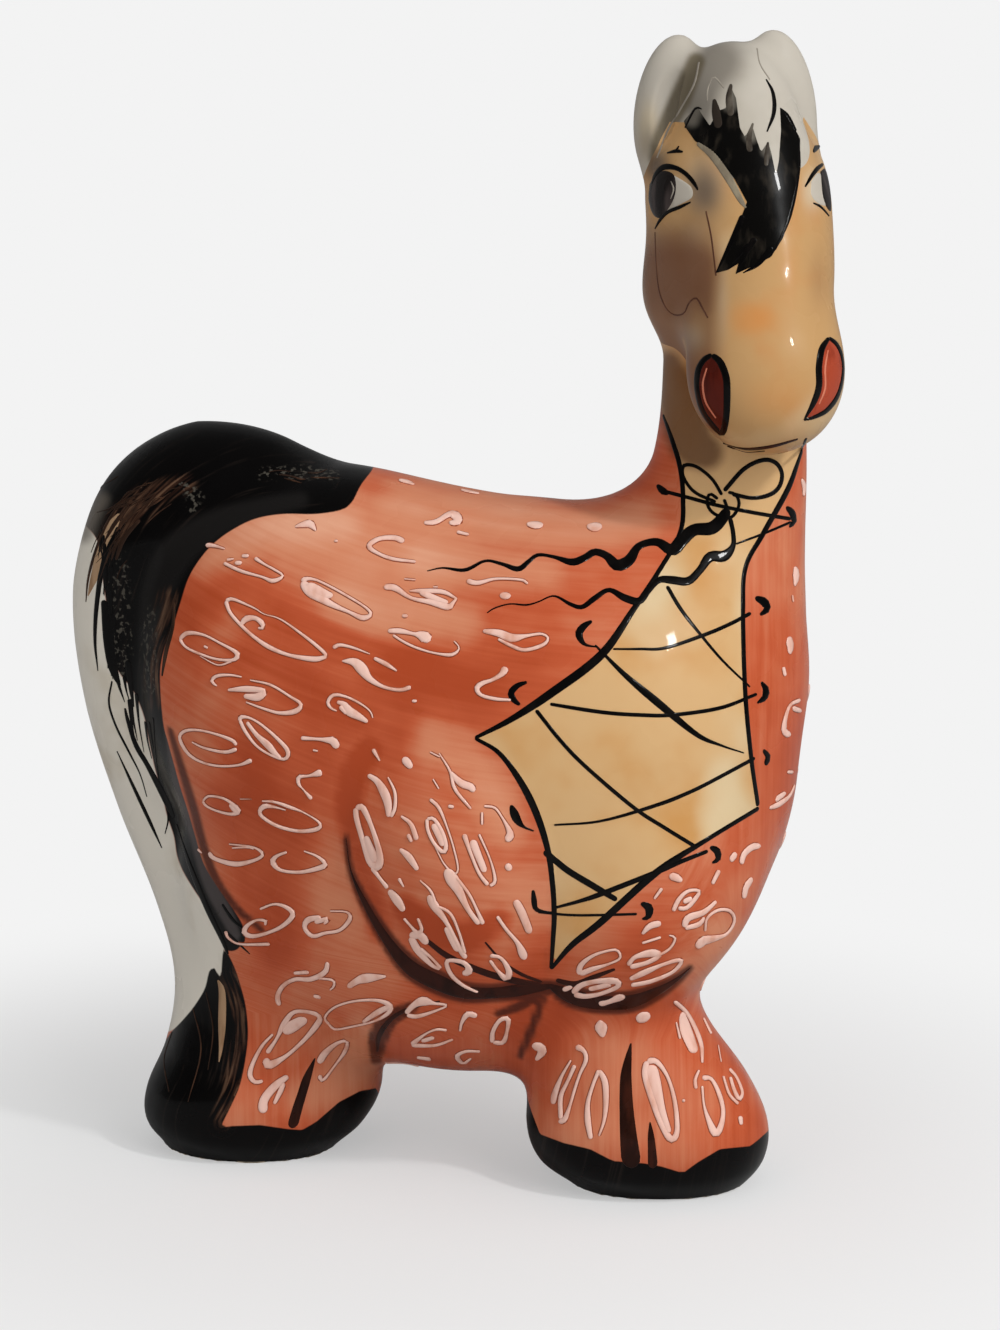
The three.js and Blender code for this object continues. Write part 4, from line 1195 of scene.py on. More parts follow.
    [(684, 927, 6), (688, 918, 8), (702, 913, 7), (710, 907, 5), (716, 901, 4)],
    [(685, 928, 5), (699, 924, 6), (704, 917, 3)],
    [(673, 911, 5), (679, 899), (688, 891, 4), (699, 891), (694, 900, 5), (686, 908), (678, 908)],
    [(683, 902, 6), (692, 898)], [(642, 934, 3), (650, 926, 7), (661, 923)], [(654, 899, 3), (662, 888, 4)],
    [(669, 876, 7), (675, 877, 9), (682, 881, 5)], [(712, 884, 4), (719, 870, 5)],
    [(730, 861, 7), (736, 853)], [(741, 864, 5), (744, 854, 7), (752, 847, 8), (760, 846, 6)],
    [(744, 898, 6), (746, 887, 8), (752, 879, 10)],
    # Right edge
    [(801, 479, 4), (804, 487, 9), (803, 496, 4)], [(794, 567, 5), (796, 575, 10), (794, 586, 3)],
    [(792, 595, 2), (793, 602)], [(788, 637, 7), (790, 645, 10), (789, 654, 4)], [(783, 667, 4), (785, 676)],
    [(800, 700, 5), (790, 705, 4), (785, 719, 5), (784, 731, 8), (790, 735)], [(792, 708, 7), (801, 711, 5)],
    [(787, 772, 4), (793, 772)], [(794, 785, 3), (789, 796, 5), (779, 804, 7), (769, 808, 4)],
    [(775, 800, 8), (785, 793, 6)],
    # Fore leg
    [(532, 1045, 6), (539, 1047, 12), (542, 1052, 10), (536, 1060, 4)],
    [(600, 1020, 4), (601, 1027, 14), (603, 1037, 5)], [(636, 1017, 12), (643, 1017, 14), (650, 1017, 12)],
    [(674, 1001, 5), (685, 1011), (694, 1026), (701, 1045), (702, 1063, 3)],
    [(681, 1013, 8), (686, 1030, 13), (695, 1053, 10)], [(676, 1022, 2), (680, 1039, 3)],
    [(576, 1046, 9), (584, 1051, 5), (586, 1060), (580, 1074, 3.5), (575, 1089), (570, 1106), (565, 1119, 6),
     (559, 1122)],
    [(571, 1060, 2.5), (562, 1076, 4), (555, 1094, 7), (553, 1104, 5)],
    [(575, 1065, 5), (568, 1081, 4), (561, 1097, 5), (561, 1119)],
    [(599, 1070, 5), (593, 1085, 4), (588, 1103, 5), (588, 1121, 7), (591, 1139, 5)],
    [(599, 1070, 5), (605, 1082, 7), (606, 1103, 6), (604, 1121, 4), (599, 1136, 2.5)],
    [(647, 1061, 8), (657, 1062, 6), (668, 1078, 4), (675, 1103, 5), (677, 1131, 6), (671, 1139, 8),
     (661, 1124, 6), (652, 1099, 7), (645, 1075), (647, 1061)],
    [(650, 1065, 15), (655, 1085, 14), (662, 1110, 8), (669, 1133, 7)],
    [(696, 1089, 4), (695, 1080), (699, 1070, 3)],
    [(702, 1078, 7), (711, 1079, 4), (719, 1094, 5), (723, 1112), (720, 1128, 7), (715, 1133, 9),
     (709, 1121, 6), (704, 1106, 3), (702, 1086)],
    [(718, 1045, 2), (721, 1062)], [(723, 1076, 2.5), (729, 1094, 3), (738, 1104, 3.5)],
    [(729, 1069, 4), (736, 1077, 3.5), (742, 1092, 4), (739, 1099, 5), (734, 1090, 4), (730, 1077)],
    [(740, 1116, 6), (741, 1125, 4)], [(682, 1100, 4), (685, 1101)], [(703, 1018, 3), (711, 1034, 4)],
]

# Areas of paint, as the photograph shows them

PANEL_LEFT = [(663, 415, 2), (672, 440, 3), (680, 467), (683, 498), (680, 533), (657, 574), (633, 610, 4),
              (601, 655, 6), (550, 694), (510, 720, 4), (475, 738, 2)]
PANEL_LOWER = [(475, 738, 2), (502, 756, 3), (530, 799, 5), (548, 851, 4), (554, 906, 3.5), (553, 940, 3),
               (551, 969, 2)]
PANEL_RIGHT = [(551, 969, 2), (572, 945, 4), (601, 922, 5), (657, 872), (708, 839, 3), (759, 808)]
PANEL_SIDE = [(758, 806, 3), (751, 756), (745, 688), (743, 605), (746, 566), (763, 534, 3.5), (787, 491, 4),
              (797, 465, 3), (806, 438, 2)]


def inside_by(pixels, outline):
    """How far pixels lie inside a closed outline, in millimetres at the target, negative outside."""
    ends = np.roll(outline, -1, axis=0)
    least = np.full(len(pixels), ENDLESS)
    odd = np.zeros(len(pixels), bool)
    for a, b in zip(outline, ends):
        along = b - a
        t = np.clip(((pixels - a) @ along) / max(along @ along, 1e-9), 0, 1)
        least = np.minimum(least, np.linalg.norm(pixels - a - t[:, None] * along, axis=1))
        if a[1] != b[1]:
            spans = (a[1] > pixels[:, 1]) != (b[1] > pixels[:, 1])
            odd ^= spans & (pixels[:, 0] < a[0] + (pixels[:, 1] - a[1]) * along[0] / along[1])
    return np.where(odd, least, -least) * PIXEL


PANEL_LINES = [PANEL_LEFT, PANEL_LOWER, PANEL_RIGHT, PANEL_SIDE]
panel_edges = [curve(widths_kept(line))[:, :2] for line in PANEL_LINES]
panel_outline = np.vstack([*panel_edges, [(815, 330), (640, 330)]])


def panel_mark(p, n):
    """The laced panel on the front of the neck and chest. On the neck it goes back to its sides."""
    front = inside_by(seen(p), panel_outline)
    facing = -n[:, 1] * 12 + 3  # fades out where the surface turns away from the front
    return np.minimum(front, facing)


# The tops of the black feet, from left to right
FORE_HOOF = [
    (380, 1190), (500, 1130), (524, 1087), (531, 1110), (540, 1134), (564, 1143), (590, 1149), (613, 1161),
    (642, 1163), (660, 1166), (683, 1173), (698, 1162), (720, 1149), (750, 1146), (758, 1140), (780, 1120),
]
HIND_HOOF = [(100, 1140), (169, 1140), (204, 1130), (232, 1126), (260, 1125), (288, 1129), (302, 1130),
             (316, 1122), (339, 1102), (360, 1091), (376, 1088), (392, 1120), (430, 1190)]


def hoof_mark(p, feet_at, edge):
    """How far below the top of a black foot. The far side mirrors the near side."""
    mirrored = p.copy()
    mirrored[:, 1] = feet_at[1] - np.abs(p[:, 1] - feet_at[1])
    pixels = seen(mirrored)
    top = np.interp(pixels[:, 0], *np.array(edge, float).T)
    return (pixels[:, 1] - top) * PIXEL


RUMP_EDGE = [
    (374, 462), (372, 470), (361, 485), (352, 502), (341, 510), (315, 514), (283, 514), (258, 518),
    (239, 526), (219, 539), (203, 555), (189, 577), (180, 604), (172, 630), (164, 650), (160, 676),
    (163, 721), (168, 742), (174, 764), (180, 786), (188, 811), (195, 835), (203, 862), (213, 880),
    (223, 895), (235, 912), (243, 926), (246, 940),
]
BAND_EDGE = [
    (246, 940), (236, 950), (226, 950), (222, 942), (214, 926), (204, 905), (193, 888), (183, 871),
    (177, 855), (174, 836), (167, 815), (162, 793), (155, 768), (149, 740), (144, 716), (134, 692),
    (119, 672), (108, 650), (107, 610), (102, 574), (97, 540), (80, 520),
]
SHIN_EDGE = [(214, 967), (218, 974), (221, 974), (224, 950), (234, 966), (241, 987), (246, 1008), (248, 1035),
             (245, 1062), (240, 1085), (232, 1104), (222, 1124)]
SHIN_TOP = [(60, 1066), (148, 1052), (173, 1030), (188, 1014), (197, 1002), (205, 988), (209, 972),
            (214, 967)]
WHITE_BELOW = [(225, 948), (224, 975), (210, 1006), (173, 1030), (60, 1072), (40, 500), (80, 520)]

rump_outline = np.vstack([curve(RUMP_EDGE), curve(BAND_EDGE), [(30, 500), (40, 300), (374, 300)]])
shin_outline = np.vstack([curve(SHIN_TOP), curve(SHIN_EDGE), [(224, 1180), (60, 1180)]])
white_outline = np.vstack([curve(BAND_EDGE[3:])[::-1], WHITE_BELOW])
TAIL_MIDDLE_Y = 22


def rear_pixels(p):
    """Where points of the tail and the rump appear. The far side mirrors the near side."""
    mirrored = p.copy()
    mirrored[:, 1] = TAIL_MIDDLE_Y - np.abs(p[:, 1] - TAIL_MIDDLE_Y)
    return seen(mirrored)


def black_mark(p):
    """The black cap over the rump with its band down the tail, and the black shin under it."""
    pixels = rear_pixels(p)
    return np.maximum(inside_by(pixels, rump_outline), inside_by(pixels, shin_outline))


def white_mark(p):
    """The white tail."""
    return inside_by(rear_pixels(p), white_outline)


# Where the coral is darker or paler: pixel, reach in millimetres and strength
TONES = [
    ((560, 690), 12, -0.15), ((430, 520), 30, 0.12), ((300, 540), 20, 0.12), ((620, 1080), 18, 0.1),
    ((780, 620), 16, 0.15), ((350, 1080), 16, 0.1), ((320, 890), 14, 0.15), ((430, 1040), 14, -0.1),
]
tone_spots = landed([spot for spot, _, _ in TONES])


def tone_mark(p):
    total = np.zeros(len(p))
    for at, (_, reach, strength) in zip(tone_spots, TONES):
        total += strength * np.exp(-((p - at) ** 2).sum(1) / reach**2)
    return total


def seam(at, tilt):
    """How far points lie over a plane through a point, tilted towards +X."""
    normal = np.array([math.sin(math.radians(tilt)), 0, math.cos(math.radians(tilt))])
    return lambda p: (p - at) @ normal


neck_seam = seam(BODY_AT + (41, 0, 70.5), 20)
fore_seam = seam(np.array(FORE_FEET) + (-8, 0, 34), -30)
hind_seam = seam(np.array(HIND_FEET) + (4, 0, 35), 29)
MIDDLE_X = (FORE_FEET[0] - 8 + HIND_FEET[0] + 4) / 2


def over(own, *others):
    """How far points lie outside one shape, less how far outside the nearest of others."""
    return lambda p: own(p) - np.minimum.reduce([other(p) for other in others])


def shared_out(field, low, high, cell, cuts):
    """The field's surface inside a box, shared out: each cut takes what its measure has below 0."""
    points, rest = skin(field, low, high, cell)
    made = {}
    for name, measure in cuts:
        points, part, rest = parted(points, rest, measure, field)
        made[name] = (field, *used_only(points, part))
    made["rest"] = (field, *used_only(points, rest))
    return made


# Boxes round the surface of the body and that of the head
BODY_BOX = (-100, -62, -3), (98, 66, 212)
HEAD_BOX = (30, -60, 150), (100, 40, 264)


def build_skins():
    """Every casting, ear and lock of hair as a skin whose edges meet the next one's."""
    lower = shared_out(whole_body, *BODY_BOX, BODY_CELL, (
        ("skull_side", over(skull, castings)),
        ("mane_side", over(mane, castings)),
        ("tail", over(tail, castings)),
        ("neck", lambda p: -neck_seam(p)),
        ("fore_leg_pair", lambda p: np.maximum(fore_seam(p), MIDDLE_X - p[:, 0])),
        ("hind_leg_pair", lambda p: np.maximum(hind_seam(p), p[:, 0] - MIDDLE_X)),
    ))
    lower["torso"] = lower["rest"]
    upper = shared_out(whole_head, *HEAD_BOX, HEAD_CELL, (
        ("right_ear", over(right_ear, castings, skull, hair, mane, left_ear)),
        ("left_ear", over(left_ear, castings, skull, hair, mane)),
        ("mane", over(mane, castings, skull, hair)),
        ("forelock", over(hair, castings, skull)),
        ("head", over(skull, castings)),
    ))
    return {**lower, **upper}


LEG_TOP, CHEST_X = 58, 48  # the brush goes upright below the one and to the right of the other


def brush_ways(p):
    """The directions of the brush: level on the body and falling towards the rump, upright on the legs."""
    x, y, z = p.T
    leg = np.maximum(np.clip((LEG_TOP - z) / 20, 0, 1), np.clip((x - CHEST_X) / 12, 0, 1))
    level = z + 0.05 * x - 0.0025 * np.minimum(x - 20, 0) ** 2
    return {"across": level * (1 - leg) + x * 1.2 * leg, "along": (x + y) * (1 - leg) + z * leg}


def beside(pixels, line):
    """How far pixels lie from a line and how far along it, in millimetres at the target."""
    fine = curve(line, 3)
    steps = np.linalg.norm(np.diff(fine, axis=0), axis=1)
    away, run = np.full(len(pixels), ENDLESS), np.zeros(len(pixels))
    for a, b, start, step in zip(fine, fine[1:], np.cumsum(steps) - steps, steps):
        t = np.clip(((pixels - a) @ (b - a)) / step**2, 0, 1)
        here = np.linalg.norm(pixels - a - t[:, None] * (b - a), axis=1)
        run = np.where(here < away, start + t * step, run)
        away = np.minimum(here, away)
    return away * PIXEL, run * PIXEL


def near_lines(pixels, lines, blur):
    """1 under the painted lines, fading to 0 over a blur of pixels."""
    most = np.zeros(len(pixels))
    for line in lines:
        fine = curve(widths_kept(line), 3)
        for a, b in zip(fine, fine[1:]):
            along = b[:2] - a[:2]
            t = np.clip(((pixels - a[:2]) @ along) / max(along @ along, 1e-9), 0, 1)
            away = np.linalg.norm(pixels - a[:2] - t[:, None] * along, axis=1) - (a[2] + t * (b[2] - a[2])) / 2
            most = np.maximum(most, 1 - away / blur)
    return np.clip(most, 0, 1)


# Soft marks on the coat: lines, and how many pixels they fade over. Those of the rear show on the far side too.
FRONT_MARKS = {
    "shade": (SHADED_LINES, 5), "neck_shade": (NECK_SHADE_LINES, 16), "lobe": (LOBE_SHADE, 12), "flank": (FLANK_DARK_AND_SHADE, 30),
    "pale": (PALE_AND_LIT_CORAL, 26),
}
REAR_MARKS = {
    "thin": (GREYER_BLACK, 12), "groove_highlight": (BLACK_GROOVE_HIGHLIGHT, 6), "dry": (DRY_BLACK, 8), "ash": (ASHY_EDGE, 14),
    "rusty": (RUSTY_BLACK, 14),
}

# Soft spots of colour: pixel, half width and half height in pixels, and strength
# On the face, blush is mostly painted shade on the brow, under the jaw and at the far side of the face, and one
# grey spot is painted shade on the brow under the lock
FACE_SPOTS = {
    "cheek_tint_and_shade": [(818, 280, 14, 40, 0.35), (705, 190, 22, 30, 0.3), (680, 385, 16, 30, 0.3),
              (697, 330, 14, 20, -0.25)],
    "grey": [(655, 165, 15, 18, 0.95), (704, 192, 20, 30, 0.8)],
    "pale": [(704, 180, 26, 34, 0.5), (812, 190, 12, 24, 0.8), (690, 340, 16, 18, 0.7), (722, 300, 9, 50, 0.4)],
    "warm": [(750, 318, 26, 20, 1), (775, 400, 40, 30, 0.6), (790, 260, 16, 30, 0.5)],
}
# On the hair, grey is painted shade on the left ear, which turns from the light, and greyer hair at the top of
# the crown
HAIR_SPOTS = {
    "grey": [(722, 60, 26, 26, 1), (700, 110, 12, 30, 0.6), (700, 90, 22, 30, 0.8), (665, 90, 30, 50, 0.25),
             (650, 145, 14, 22, 0.6)],
    "beige": [(648, 130, 12, 34, 1)],
}
FACE_EDGE, CHEEK_TOP = 732, 214  # pixels: the side of the face is dark left of the one and below the other
SOLE = 0.35  # height up to which the feet are unglazed, in millimetres


def near_spots(pixels, spots):
    """The strength of soft spots at pixels."""
    total = np.zeros(len(pixels))
    for x, y, wide, high, most in spots:
        total += most * np.exp(-((pixels[:, 0] - x) / wide) ** 2 - ((pixels[:, 1] - y) / high) ** 2)
    return total


def coral_values(p, n):
    pixels, rear = seen(p), rear_pixels(p)
    front = n @ back > 0
    soft = {key: near_lines(pixels, lines, blur) * front for key, (lines, blur) in FRONT_MARKS.items()}
    soft.update((key, near_lines(rear, lines, blur)) for key, (lines, blur) in REAR_MARKS.items())
    soft["deep"] = soft.pop("lobe") + 0.6 * soft.pop("flank")
    soft["band_across"], soft["band_along"] = beside(rear, RUMP_EDGE + SHIN_EDGE[4:])
    fore, hind = hoof_mark(p, FORE_FEET, FORE_HOOF), hoof_mark(p, HIND_FEET, HIND_HOOF)
    return {
        "tone": tone_mark(p),
        "panel": panel_mark(p, n),
        "white": white_mark(p),
        "black": np.maximum(black_mark(p), np.where(p[:, 0] > MIDDLE_X, fore, hind)),
        "bare": (p[:, 2] < SOLE).astype(float),
        **soft,
        **brush_ways(p),
    }


def face_values(p, n):
    pixels = seen(p)
    front = np.clip(n @ back * 3 + 0.6, 0, 1)
    values = {key: near_spots(pixels, spots) for key, spots in FACE_SPOTS.items()}
    # The cheek's brownish tint, partly painted shade, and painted shade down the left side of the face, which
    # turns from the light
    cheek = np.clip(inside_by(pixels, np.array(CHEEK, float)) / 7 + 0.4, 0, 1)
    side = np.clip((FACE_EDGE - pixels[:, 0]) / 24, 0, 1) * np.clip((pixels[:, 1] - CHEEK_TOP) / 46, 0, 1)
    values["cheek_tint_and_shade"] += 0.3 * cheek + 0.75 * side
    return {key: value * front for key, value in values.items()}


def hair_values(p, n):
    pixels = seen(p)
    values = {key: near_spots(pixels, spots) for key, spots in HAIR_SPOTS.items()}
    values["ear_hollow_shade"] = near_lines(pixels, [EAR_HOLLOW_SHADE_LINE], 8) * (n @ back > -0.3)
    return values


def add_castings():
    skins = build_skins()
    coral, face, hairy = coat_paint(), face_paint(), hair_paint()
    for name, slot, material, values in (
        ("torso", "coral_glaze", coral, coral_values),
        ("fore_leg_pair", "coral_glaze", coral, coral_values),
        ("hind_leg_pair", "coral_glaze", coral, coral_values),
        ("neck", "ochre_glaze", coral, coral_values),
        ("tail", "black_glaze", coral, coral_values),
        ("head", "ochre_glaze", face, face_values),
        ("right_ear", "white_glaze", hairy, hair_values),
        ("left_ear", "white_glaze", hairy, hair_values),
        ("forelock", "grey_glaze", hairy, hair_values),
        ("mane", "grey_glaze", hairy, hair_values),
    ):
        field, points, faces = skins[name]
        points, faces, normals = thickened(points, faces, slope(field, points))
        add_piece("glazed_" + name, slot, material, points, faces, normals, values(points, normals), name)


FEATHERS, FEATHER_TOP = 30, 540  # how many there are, and the row of pixels from which they begin to lean


def feathers():
    """Dry brush marks where the black of the rump runs out into the white of the tail."""
    edge = curve(FEATHER_EDGE, 6)
    out = []
    for _ in range(FEATHERS):
        spot = edge[rng.randrange(len(edge) - 1)]
        lean = rng.uniform(-7, 2) + (spot[1] - FEATHER_TOP) * 0.06
        reach = rng.uniform(26, 64)
        x, y = spot[0] + rng.uniform(0, 7), spot[1] - rng.uniform(4, 22)
        out.append([(x, y, rng.uniform(3, 6)), (x + lean * 0.35, y + reach * 0.5, rng.uniform(2, 4)),
                    (x + lean, y + reach, 0.7)])
    return out


def dry_marks(middle, spread, aim, count, longest):
    """Short scratchy marks round a pixel, all about one way."""
    out = []
    for _ in range(count):
        x, y = middle[0] + rng.gauss(0, spread[0]), middle[1] + rng.gauss(0, spread[1])
        turn = math.radians(aim + rng.gauss(0, 7))
        reach = rng.uniform(0.4, 1) * longest
        bend = rng.uniform(-2, 2)
        across, down = math.cos(turn) * reach, math.sin(turn) * reach
        out.append([(x, y, 0.8), (x + across / 2 + bend, y + down / 2 + bend, rng.uniform(1, 2.2)),
                    (x + across, y + down, 0.7)])
    return out


# The enamel on the far side, in millimetres
FAR_TRIES = 3000
FAR_MIDDLE, FAR_SPREAD = np.array([0, 3, 84]), (62, 42, 60)  # of the egg from which marks are drawn onto the form
FAR_HEIGHTS = (24, 150)
FAR_ROOM = 10.5  # least distance between two marks
CLEAR, TAIL_CLEAR = 5, 4  # least distance from the black and the panel, and from the tail
HIDDEN = -0.06  # a face whose normal has less than this towards the camera is out of its sight
LOOPS, DABS = 0.6, 0.8  # draws below the first give a loop, below the second a dab, and the rest a wave


def far_marks():
    """Enamel loops and dabs on the coral that the photograph doesn't show, by chance with even room."""
    aims = np.array([[rng.gauss(0, 1), rng.gauss(0, 1), rng.gauss(0, 0.7)] for _ in range(FAR_TRIES)])
    aims /= np.linalg.norm(aims, axis=1, keepdims=True)
    spots = drawn(castings, FAR_MIDDLE + aims * FAR_SPREAD, 12, 6)
    normals = slope(castings, spots)
    toward = eye - spots
    free = (normals * toward).sum(1) / np.linalg.norm(toward, axis=1) < HIDDEN
    values = coral_values(spots, normals)
    free &= (values["black"] < -CLEAR) & (values["panel"] < -CLEAR) & (tail(spots) > TAIL_CLEAR)
    free &= (spots[:, 2] > FAR_HEIGHTS[0]) & (spots[:, 2] < FAR_HEIGHTS[1])
    runs, kept = [], []
    for spot, normal in zip(spots[free], normals[free]):
        if kept and np.linalg.norm(np.array(kept) - spot, axis=1).min() < FAR_ROOM:
            continue
        kept.append(spot)
        level = np.cross(normal, [0, 0, 1])
        level /= np.linalg.norm(level)
        rise = np.cross(level, normal)
        kind, tilt = rng.random(), rng.uniform(-50, 30)
        size = rng.uniform(6, 12) / PIXEL
        if kind < LOOPS:
            mark = ring(0, 0, size, size * rng.uniform(0.25, 0.42), tilt, 3.6, rng.uniform(1, 2.2))
        elif kind < DABS:
            mark = dab(0, 0, size * 0.5, rng.uniform(5, 9), tilt)
        else:
            mark = [(-size / 3, -6, 3), (0, 4, 5), (size / 3, -2, 3), (size / 2.6, -9, 2.5)]
        place, half = smooth_line(mark)
        runs.append((spot + (place[:, :1] * level - place[:, 1:] * rise) * PIXEL, half * PIXEL))
    return runs


def add_lines():
    """The painted and trailed lines. How far each brush's paint rises over the glaze is in millimetres."""
    ink = line_paint("brushed_black", "060505", "100d0c")
    brown = line_paint("brushed_brown", "24100a", "3a1a10")
    sepia = line_paint("crease_sepia", "34150d", "260f09")
    umber = line_paint("dry_umber", "2c1d15", "4a3224")
    pencil = line_paint("faint_grey", "8d857a", "a39b8e")
    russet = line_paint("faint_russet", "543426", "6c4835")
    buff = line_paint("thin_tan", "a58668", "8b6a4e")
    smoky = line_paint("tip_grey", "2f2822", "5d564c")
    dun = line_paint("lock_edge_shadow_paint", "7a6f5e", "928872")
    enamel = line_paint("trailed_enamel", "ebc2b3", "daa28d", 0.3)
    # A dark fringe of pooled glaze with the curls' painted shadow
    pooled = line_paint("fringe_and_shadow_glaze", "8a4026", "a3563a")
    pink = line_paint("nostril_light", "cd7a60", "bd6248")
    curls = wider(ENAMEL, -0.5)
    scratches = dry_marks((150, 494), (17, 7), 150, 22, 36)
    scratches += dry_marks((118, 530), (6, 12), 120, 14, 36)
    scratches += dry_marks((285, 474), (16, 4), 5, 6, 30)
    for name, slot, material, rise, lines in (
        ("panel_outline", "black_glaze", ink, 0.1, wider(PANEL_LINES, 1, 1.35)),
        ("lacing", "black_glaze", ink, 0.1, wider(LACES, 0, 1.4)),
        ("lace_eyelets", "black_glaze", ink, 0.14, EYELETS),
        ("bow_and_ribbons", "black_glaze", ink, 0.12, wider(BOW, 0, 1.2) + RIBBONS),
        ("tail_strokes", "black_glaze", ink, 0.1, TAIL_STROKES + feathers()),
        ("tail_dry_brush", "black_glaze", umber, 0.1, scratches),
        ("tail_tan", "ochre_glaze", buff, 0.08, TAN_STROKES),
        ("tail_sheen_and_brown", "black_glaze", umber, 0.12, TAIL_BROWN_AND_SHEEN),
        ("leg_strokes", "black_glaze", brown, 0.1, LEG_STROKES),
        ("crease_strokes", "black_glaze", sepia, 0.1, wider([LOBE_CREASE, CHEST_CREASE], -1.5) + INNER_CREASES),
        # a darker fringe round every curl: pooled glaze and the curl's painted shadow
        ("enamel_fringes_and_shadows", "coral_glaze", pooled, 0.06, wider(curls, 2)),
        ("enamel_curls", "white_glaze", enamel, ENAMEL_RISE, curls),
        ("lock_tips", "black_glaze", smoky, 0.08, TIP_STROKES),
        ("hair_strokes", "black_glaze", ink, 0.08, HAIR_STROKES),
        ("hair_pencil", "grey_glaze", pencil, 0.05, HAIR_PENCIL),
        # a painted shadow along the lock's left edge
        ("forelock_shadow_line", "black_glaze", dun, 0.07, FORELOCK_SHADOW_LINE),
        ("face_faint_lines", "ochre_glaze", russet, 0.05, FAINT_LINES),
        ("mouth_line", "black_glaze", brown, 0.08, FACE_LINES),
        ("lashes_and_brows", "black_glaze", ink, 0.16, LASHES),
        ("nostril_edges", "black_glaze", ink, 0.16, NOSTRIL_EDGES),
        ("nostril_lights", "coral_glaze", pink, 0.14, NOSTRIL_LIGHTS),
        ("iris_glints", "white_glaze", pencil, 0.18, IRIS_GLINTS),
    ):
        brush = Brush(name, slot, material, rise)
        brush.lines(lines)
        brush.lay()

    brush = Brush("enamel_curls_far", "white_glaze", enamel, ENAMEL_RISE)
    for centres, half in far_marks():
        brush.trail(centres, half)
    brush.lay()


def add_areas():
    """The eyes and the nostrils."""
    for name, slot, colours, rise, outlines in (
        ("eye_whites", "white_glaze", ("eye_white", "bab2a5", "a89f91"), 0.07, EYE_WHITES),
        ("irises", "black_glaze", ("iris_grey", "1d1817", "453c3a"), 0.12, IRISES),
        # This nostril is the same red, darkened as painted shade
        ("right_nostril", "coral_glaze", ("nostril_red_in_shade", "561b11", "3a110b"), 0.08, NOSTRILS[:1]),
        ("left_nostril", "coral_glaze", ("nostril_red", "a5442c", "7e2b1a"), 0.08, NOSTRILS[1:]),
    ):
        brush = Brush(name, slot, line_paint(*colours), rise)
        for outline in outlines:
            brush.area(outline)
        brush.lay()


LOCK_BOX = (46, -50, 178), (88, 0, 258)  # round the black lock


def add_black_lock():
    """The black lock on the brow, a thin layer of paint with a sharp outline."""
    points, faces = skin(whole_head, *LOCK_BOX, LOCK_CELL)
    outline = np.array(FORELOCK, float)
    points, _, faces = parted(points, faces, lambda p: inside_by(seen(p), outline), whole_head)
    points, faces = used_only(points, faces)
    normals = slope(whole_head, points)
    points, faces, normals = thickened(points + normals * LOCK_RISE, faces, normals, LOCK_PAINT)
    tips = near_lines(seen(points), LOCK_TIPS, 10)
    add_piece("forelock_black", "black_glaze", lock_paint(), points, faces, normals, {"tip": tips})


# Floor, light and camera

def stage_floor():
    """A pale floor that curves up far behind the horse. It shows shadows near the horse and glows farther off."""
    width, front, turn_at, radius, height, steps = 30.0, -20.0, 8.0, 6.0, 14.0, 24
    angles = [math.pi / 2 * n / steps for n in range(1, steps + 1)]
    profile = [(front, 0.0), (turn_at, 0.0)]
    profile += [(turn_at + radius * math.sin(a), radius * (1 - math.cos(a))) for a in angles]
    profile.append((turn_at + radius, height))
    rows = [(x, y, z) for y, z in profile for x in (-width, width)]
    mesh = bpy.data.meshes.new("floor")
    mesh.from_pydata(rows, [], [(2 * n, 2 * n + 1, 2 * n + 3, 2 * n + 2) for n in range(len(profile) - 1)])
    material = bpy.data.materials.new("pale_floor")
    material.use_nodes = True
    tree = material.node_tree
    nodes = tree.nodes
    to_camera = nodes.new("ShaderNodeLightPath").outputs["Is Camera Ray"]
    shader = nodes["Principled BSDF"]
    tone = mixed(tree, "c4c4c4", "ececec", to_camera)
    feed(tree, shader, {"Base Color": tone, "Roughness": 0.9, "Specular IOR Level": 0.0})
    glow = nodes.new("ShaderNodeEmission")
    feed(tree, glow, {"Color": shade("f3f3f3")})
    length = nodes.new("ShaderNodeVectorMath")
    length.operation = "LENGTH"
    feed(tree, length, {0: nodes.new("ShaderNodeNewGeometry").outputs["Position"]})
    far = eased(tree, length.outputs["Value"], 0.08, 0.24, 0.45)
    mix = nodes.new("ShaderNodeMixShader")
    feed(tree, mix, {0: worked_out(tree, "MULTIPLY", to_camera, far), 1: shader.outputs[0], 2: glow.outputs[0]})
    feed(tree, nodes["Material Output"], {"Surface": mix.outputs[0]})
    mesh.materials.append(material)
    floor = add_object("floor", mesh)
    floor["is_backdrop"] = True


LAMP_AIM = Vector((0.0, 0.0, 0.12))


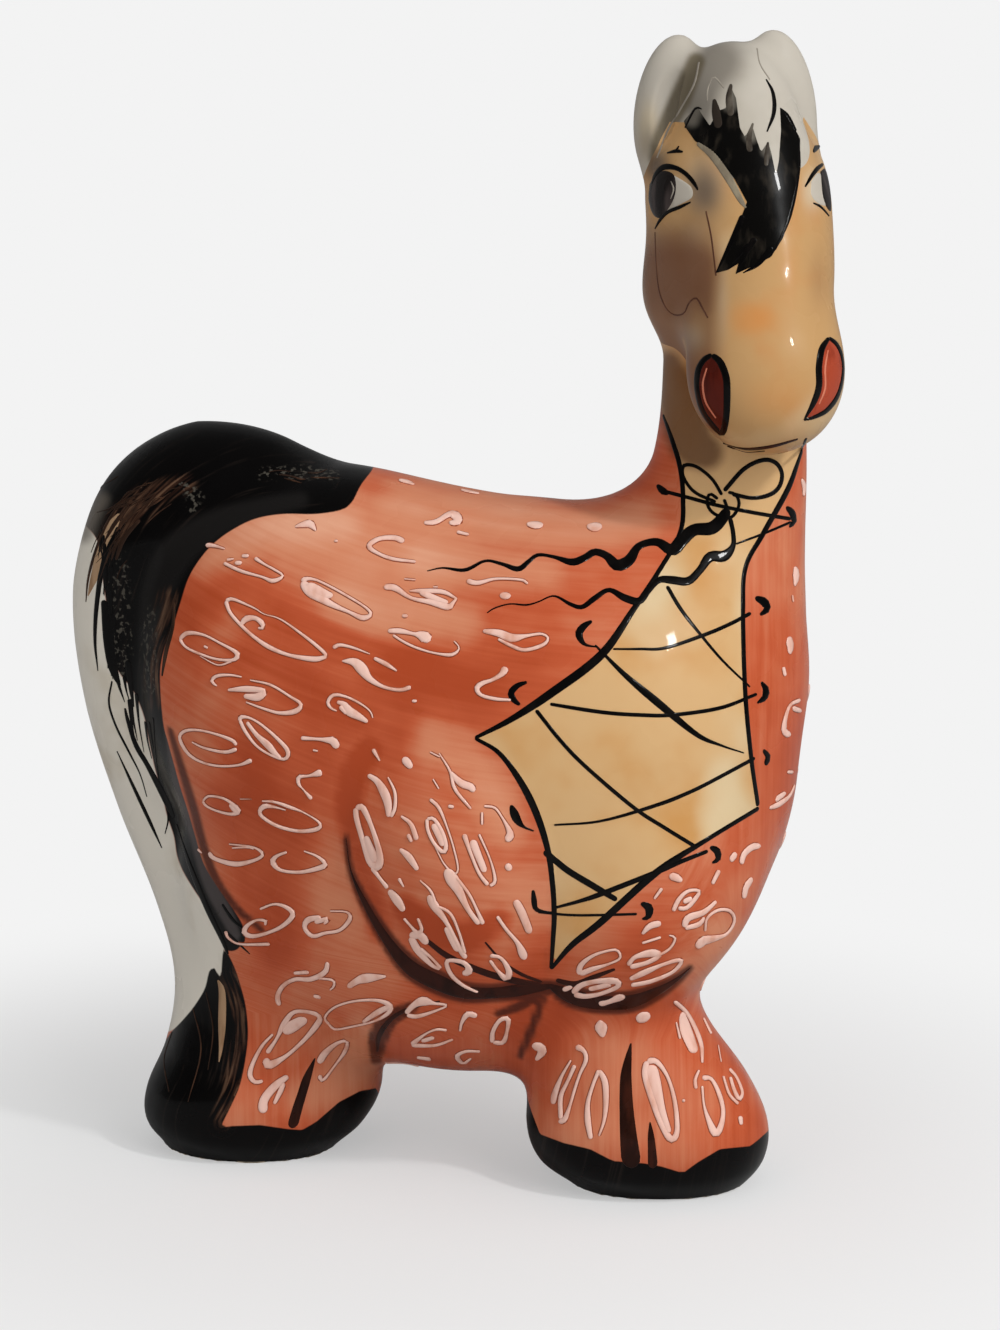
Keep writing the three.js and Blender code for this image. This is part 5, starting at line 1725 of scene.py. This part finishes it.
def lamp(name, at, size, power):
    light = bpy.data.lights.new(name, "AREA")
    light.shape = "RECTANGLE"
    light.size, light.size_y = size
    light.energy = power
    made = add_object(name, light)
    made.location = at
    made.rotation_euler = (LAMP_AIM - Vector(at)).to_track_quat("-Z", "Y").to_euler()
    return made


def studio():
    """Soft light from above, two soft lamps and the small window that the glaze mirrors."""
    world = bpy.data.worlds.new("studio")
    world.use_nodes = True
    tree = world.node_tree
    nodes = tree.nodes
    split = nodes.new("ShaderNodeSeparateXYZ")
    feed(tree, split, {0: nodes.new("ShaderNodeTexCoord").outputs["Generated"]})
    kind = nodes.new("ShaderNodeLightPath")
    height = eased(tree, split.outputs["Z"], -0.1, 0.9, 0.4, 0.52)
    mirrored = eased(tree, kind.outputs["Is Glossy Ray"], 0.0, 1.0, 1.0, 0.25)
    light = worked_out(tree, "MULTIPLY", height, mirrored)
    strength = nodes.new("ShaderNodeMix")
    feed(tree, strength, {"Factor": kind.outputs["Is Camera Ray"], PLAIN_A: light, PLAIN_B: 0.9})
    feed(tree, nodes["Background"], {"Color": (1, 1, 1, 1), "Strength": strength.outputs[0]})
    bpy.context.scene.world = world
    lamp("key", (1.4, -1.5, 1.3), (1.4, 1.4), 19).visible_glossy = False
    lamp("fill", (-1.4, -1.8, 0.4), (1.3, 1.3), 9).visible_glossy = False
    lamp("window", (0.68, -0.65, 0.89), (0.07, 0.13), 5)


def photograph_camera():
    lens = bpy.data.cameras.new("photograph")
    lens.sensor_fit = "HORIZONTAL"
    lens.sensor_width = SENSOR
    lens.lens = SENSOR * DISTANCE / (PIXEL * PICTURE[0])
    lens.clip_start = 0.05
    lens.clip_end = 100
    camera = add_object("photograph", lens)
    camera.location = (eye + SHIFT) * MM
    camera.rotation_euler = (math.pi / 2 - ELEVATION, 0, 0)
    bpy.context.scene.camera = camera
    bpy.context.scene.view_settings.view_transform = "Standard"


add_castings()
add_lines()
add_areas()
add_black_lock()
stage_floor()
studio()
photograph_camera()

lowest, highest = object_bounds()
{"cad": [list(map(float, v)) for v in cad_box], "visual": [list(map(float, v)) for v in (lowest, highest)]}
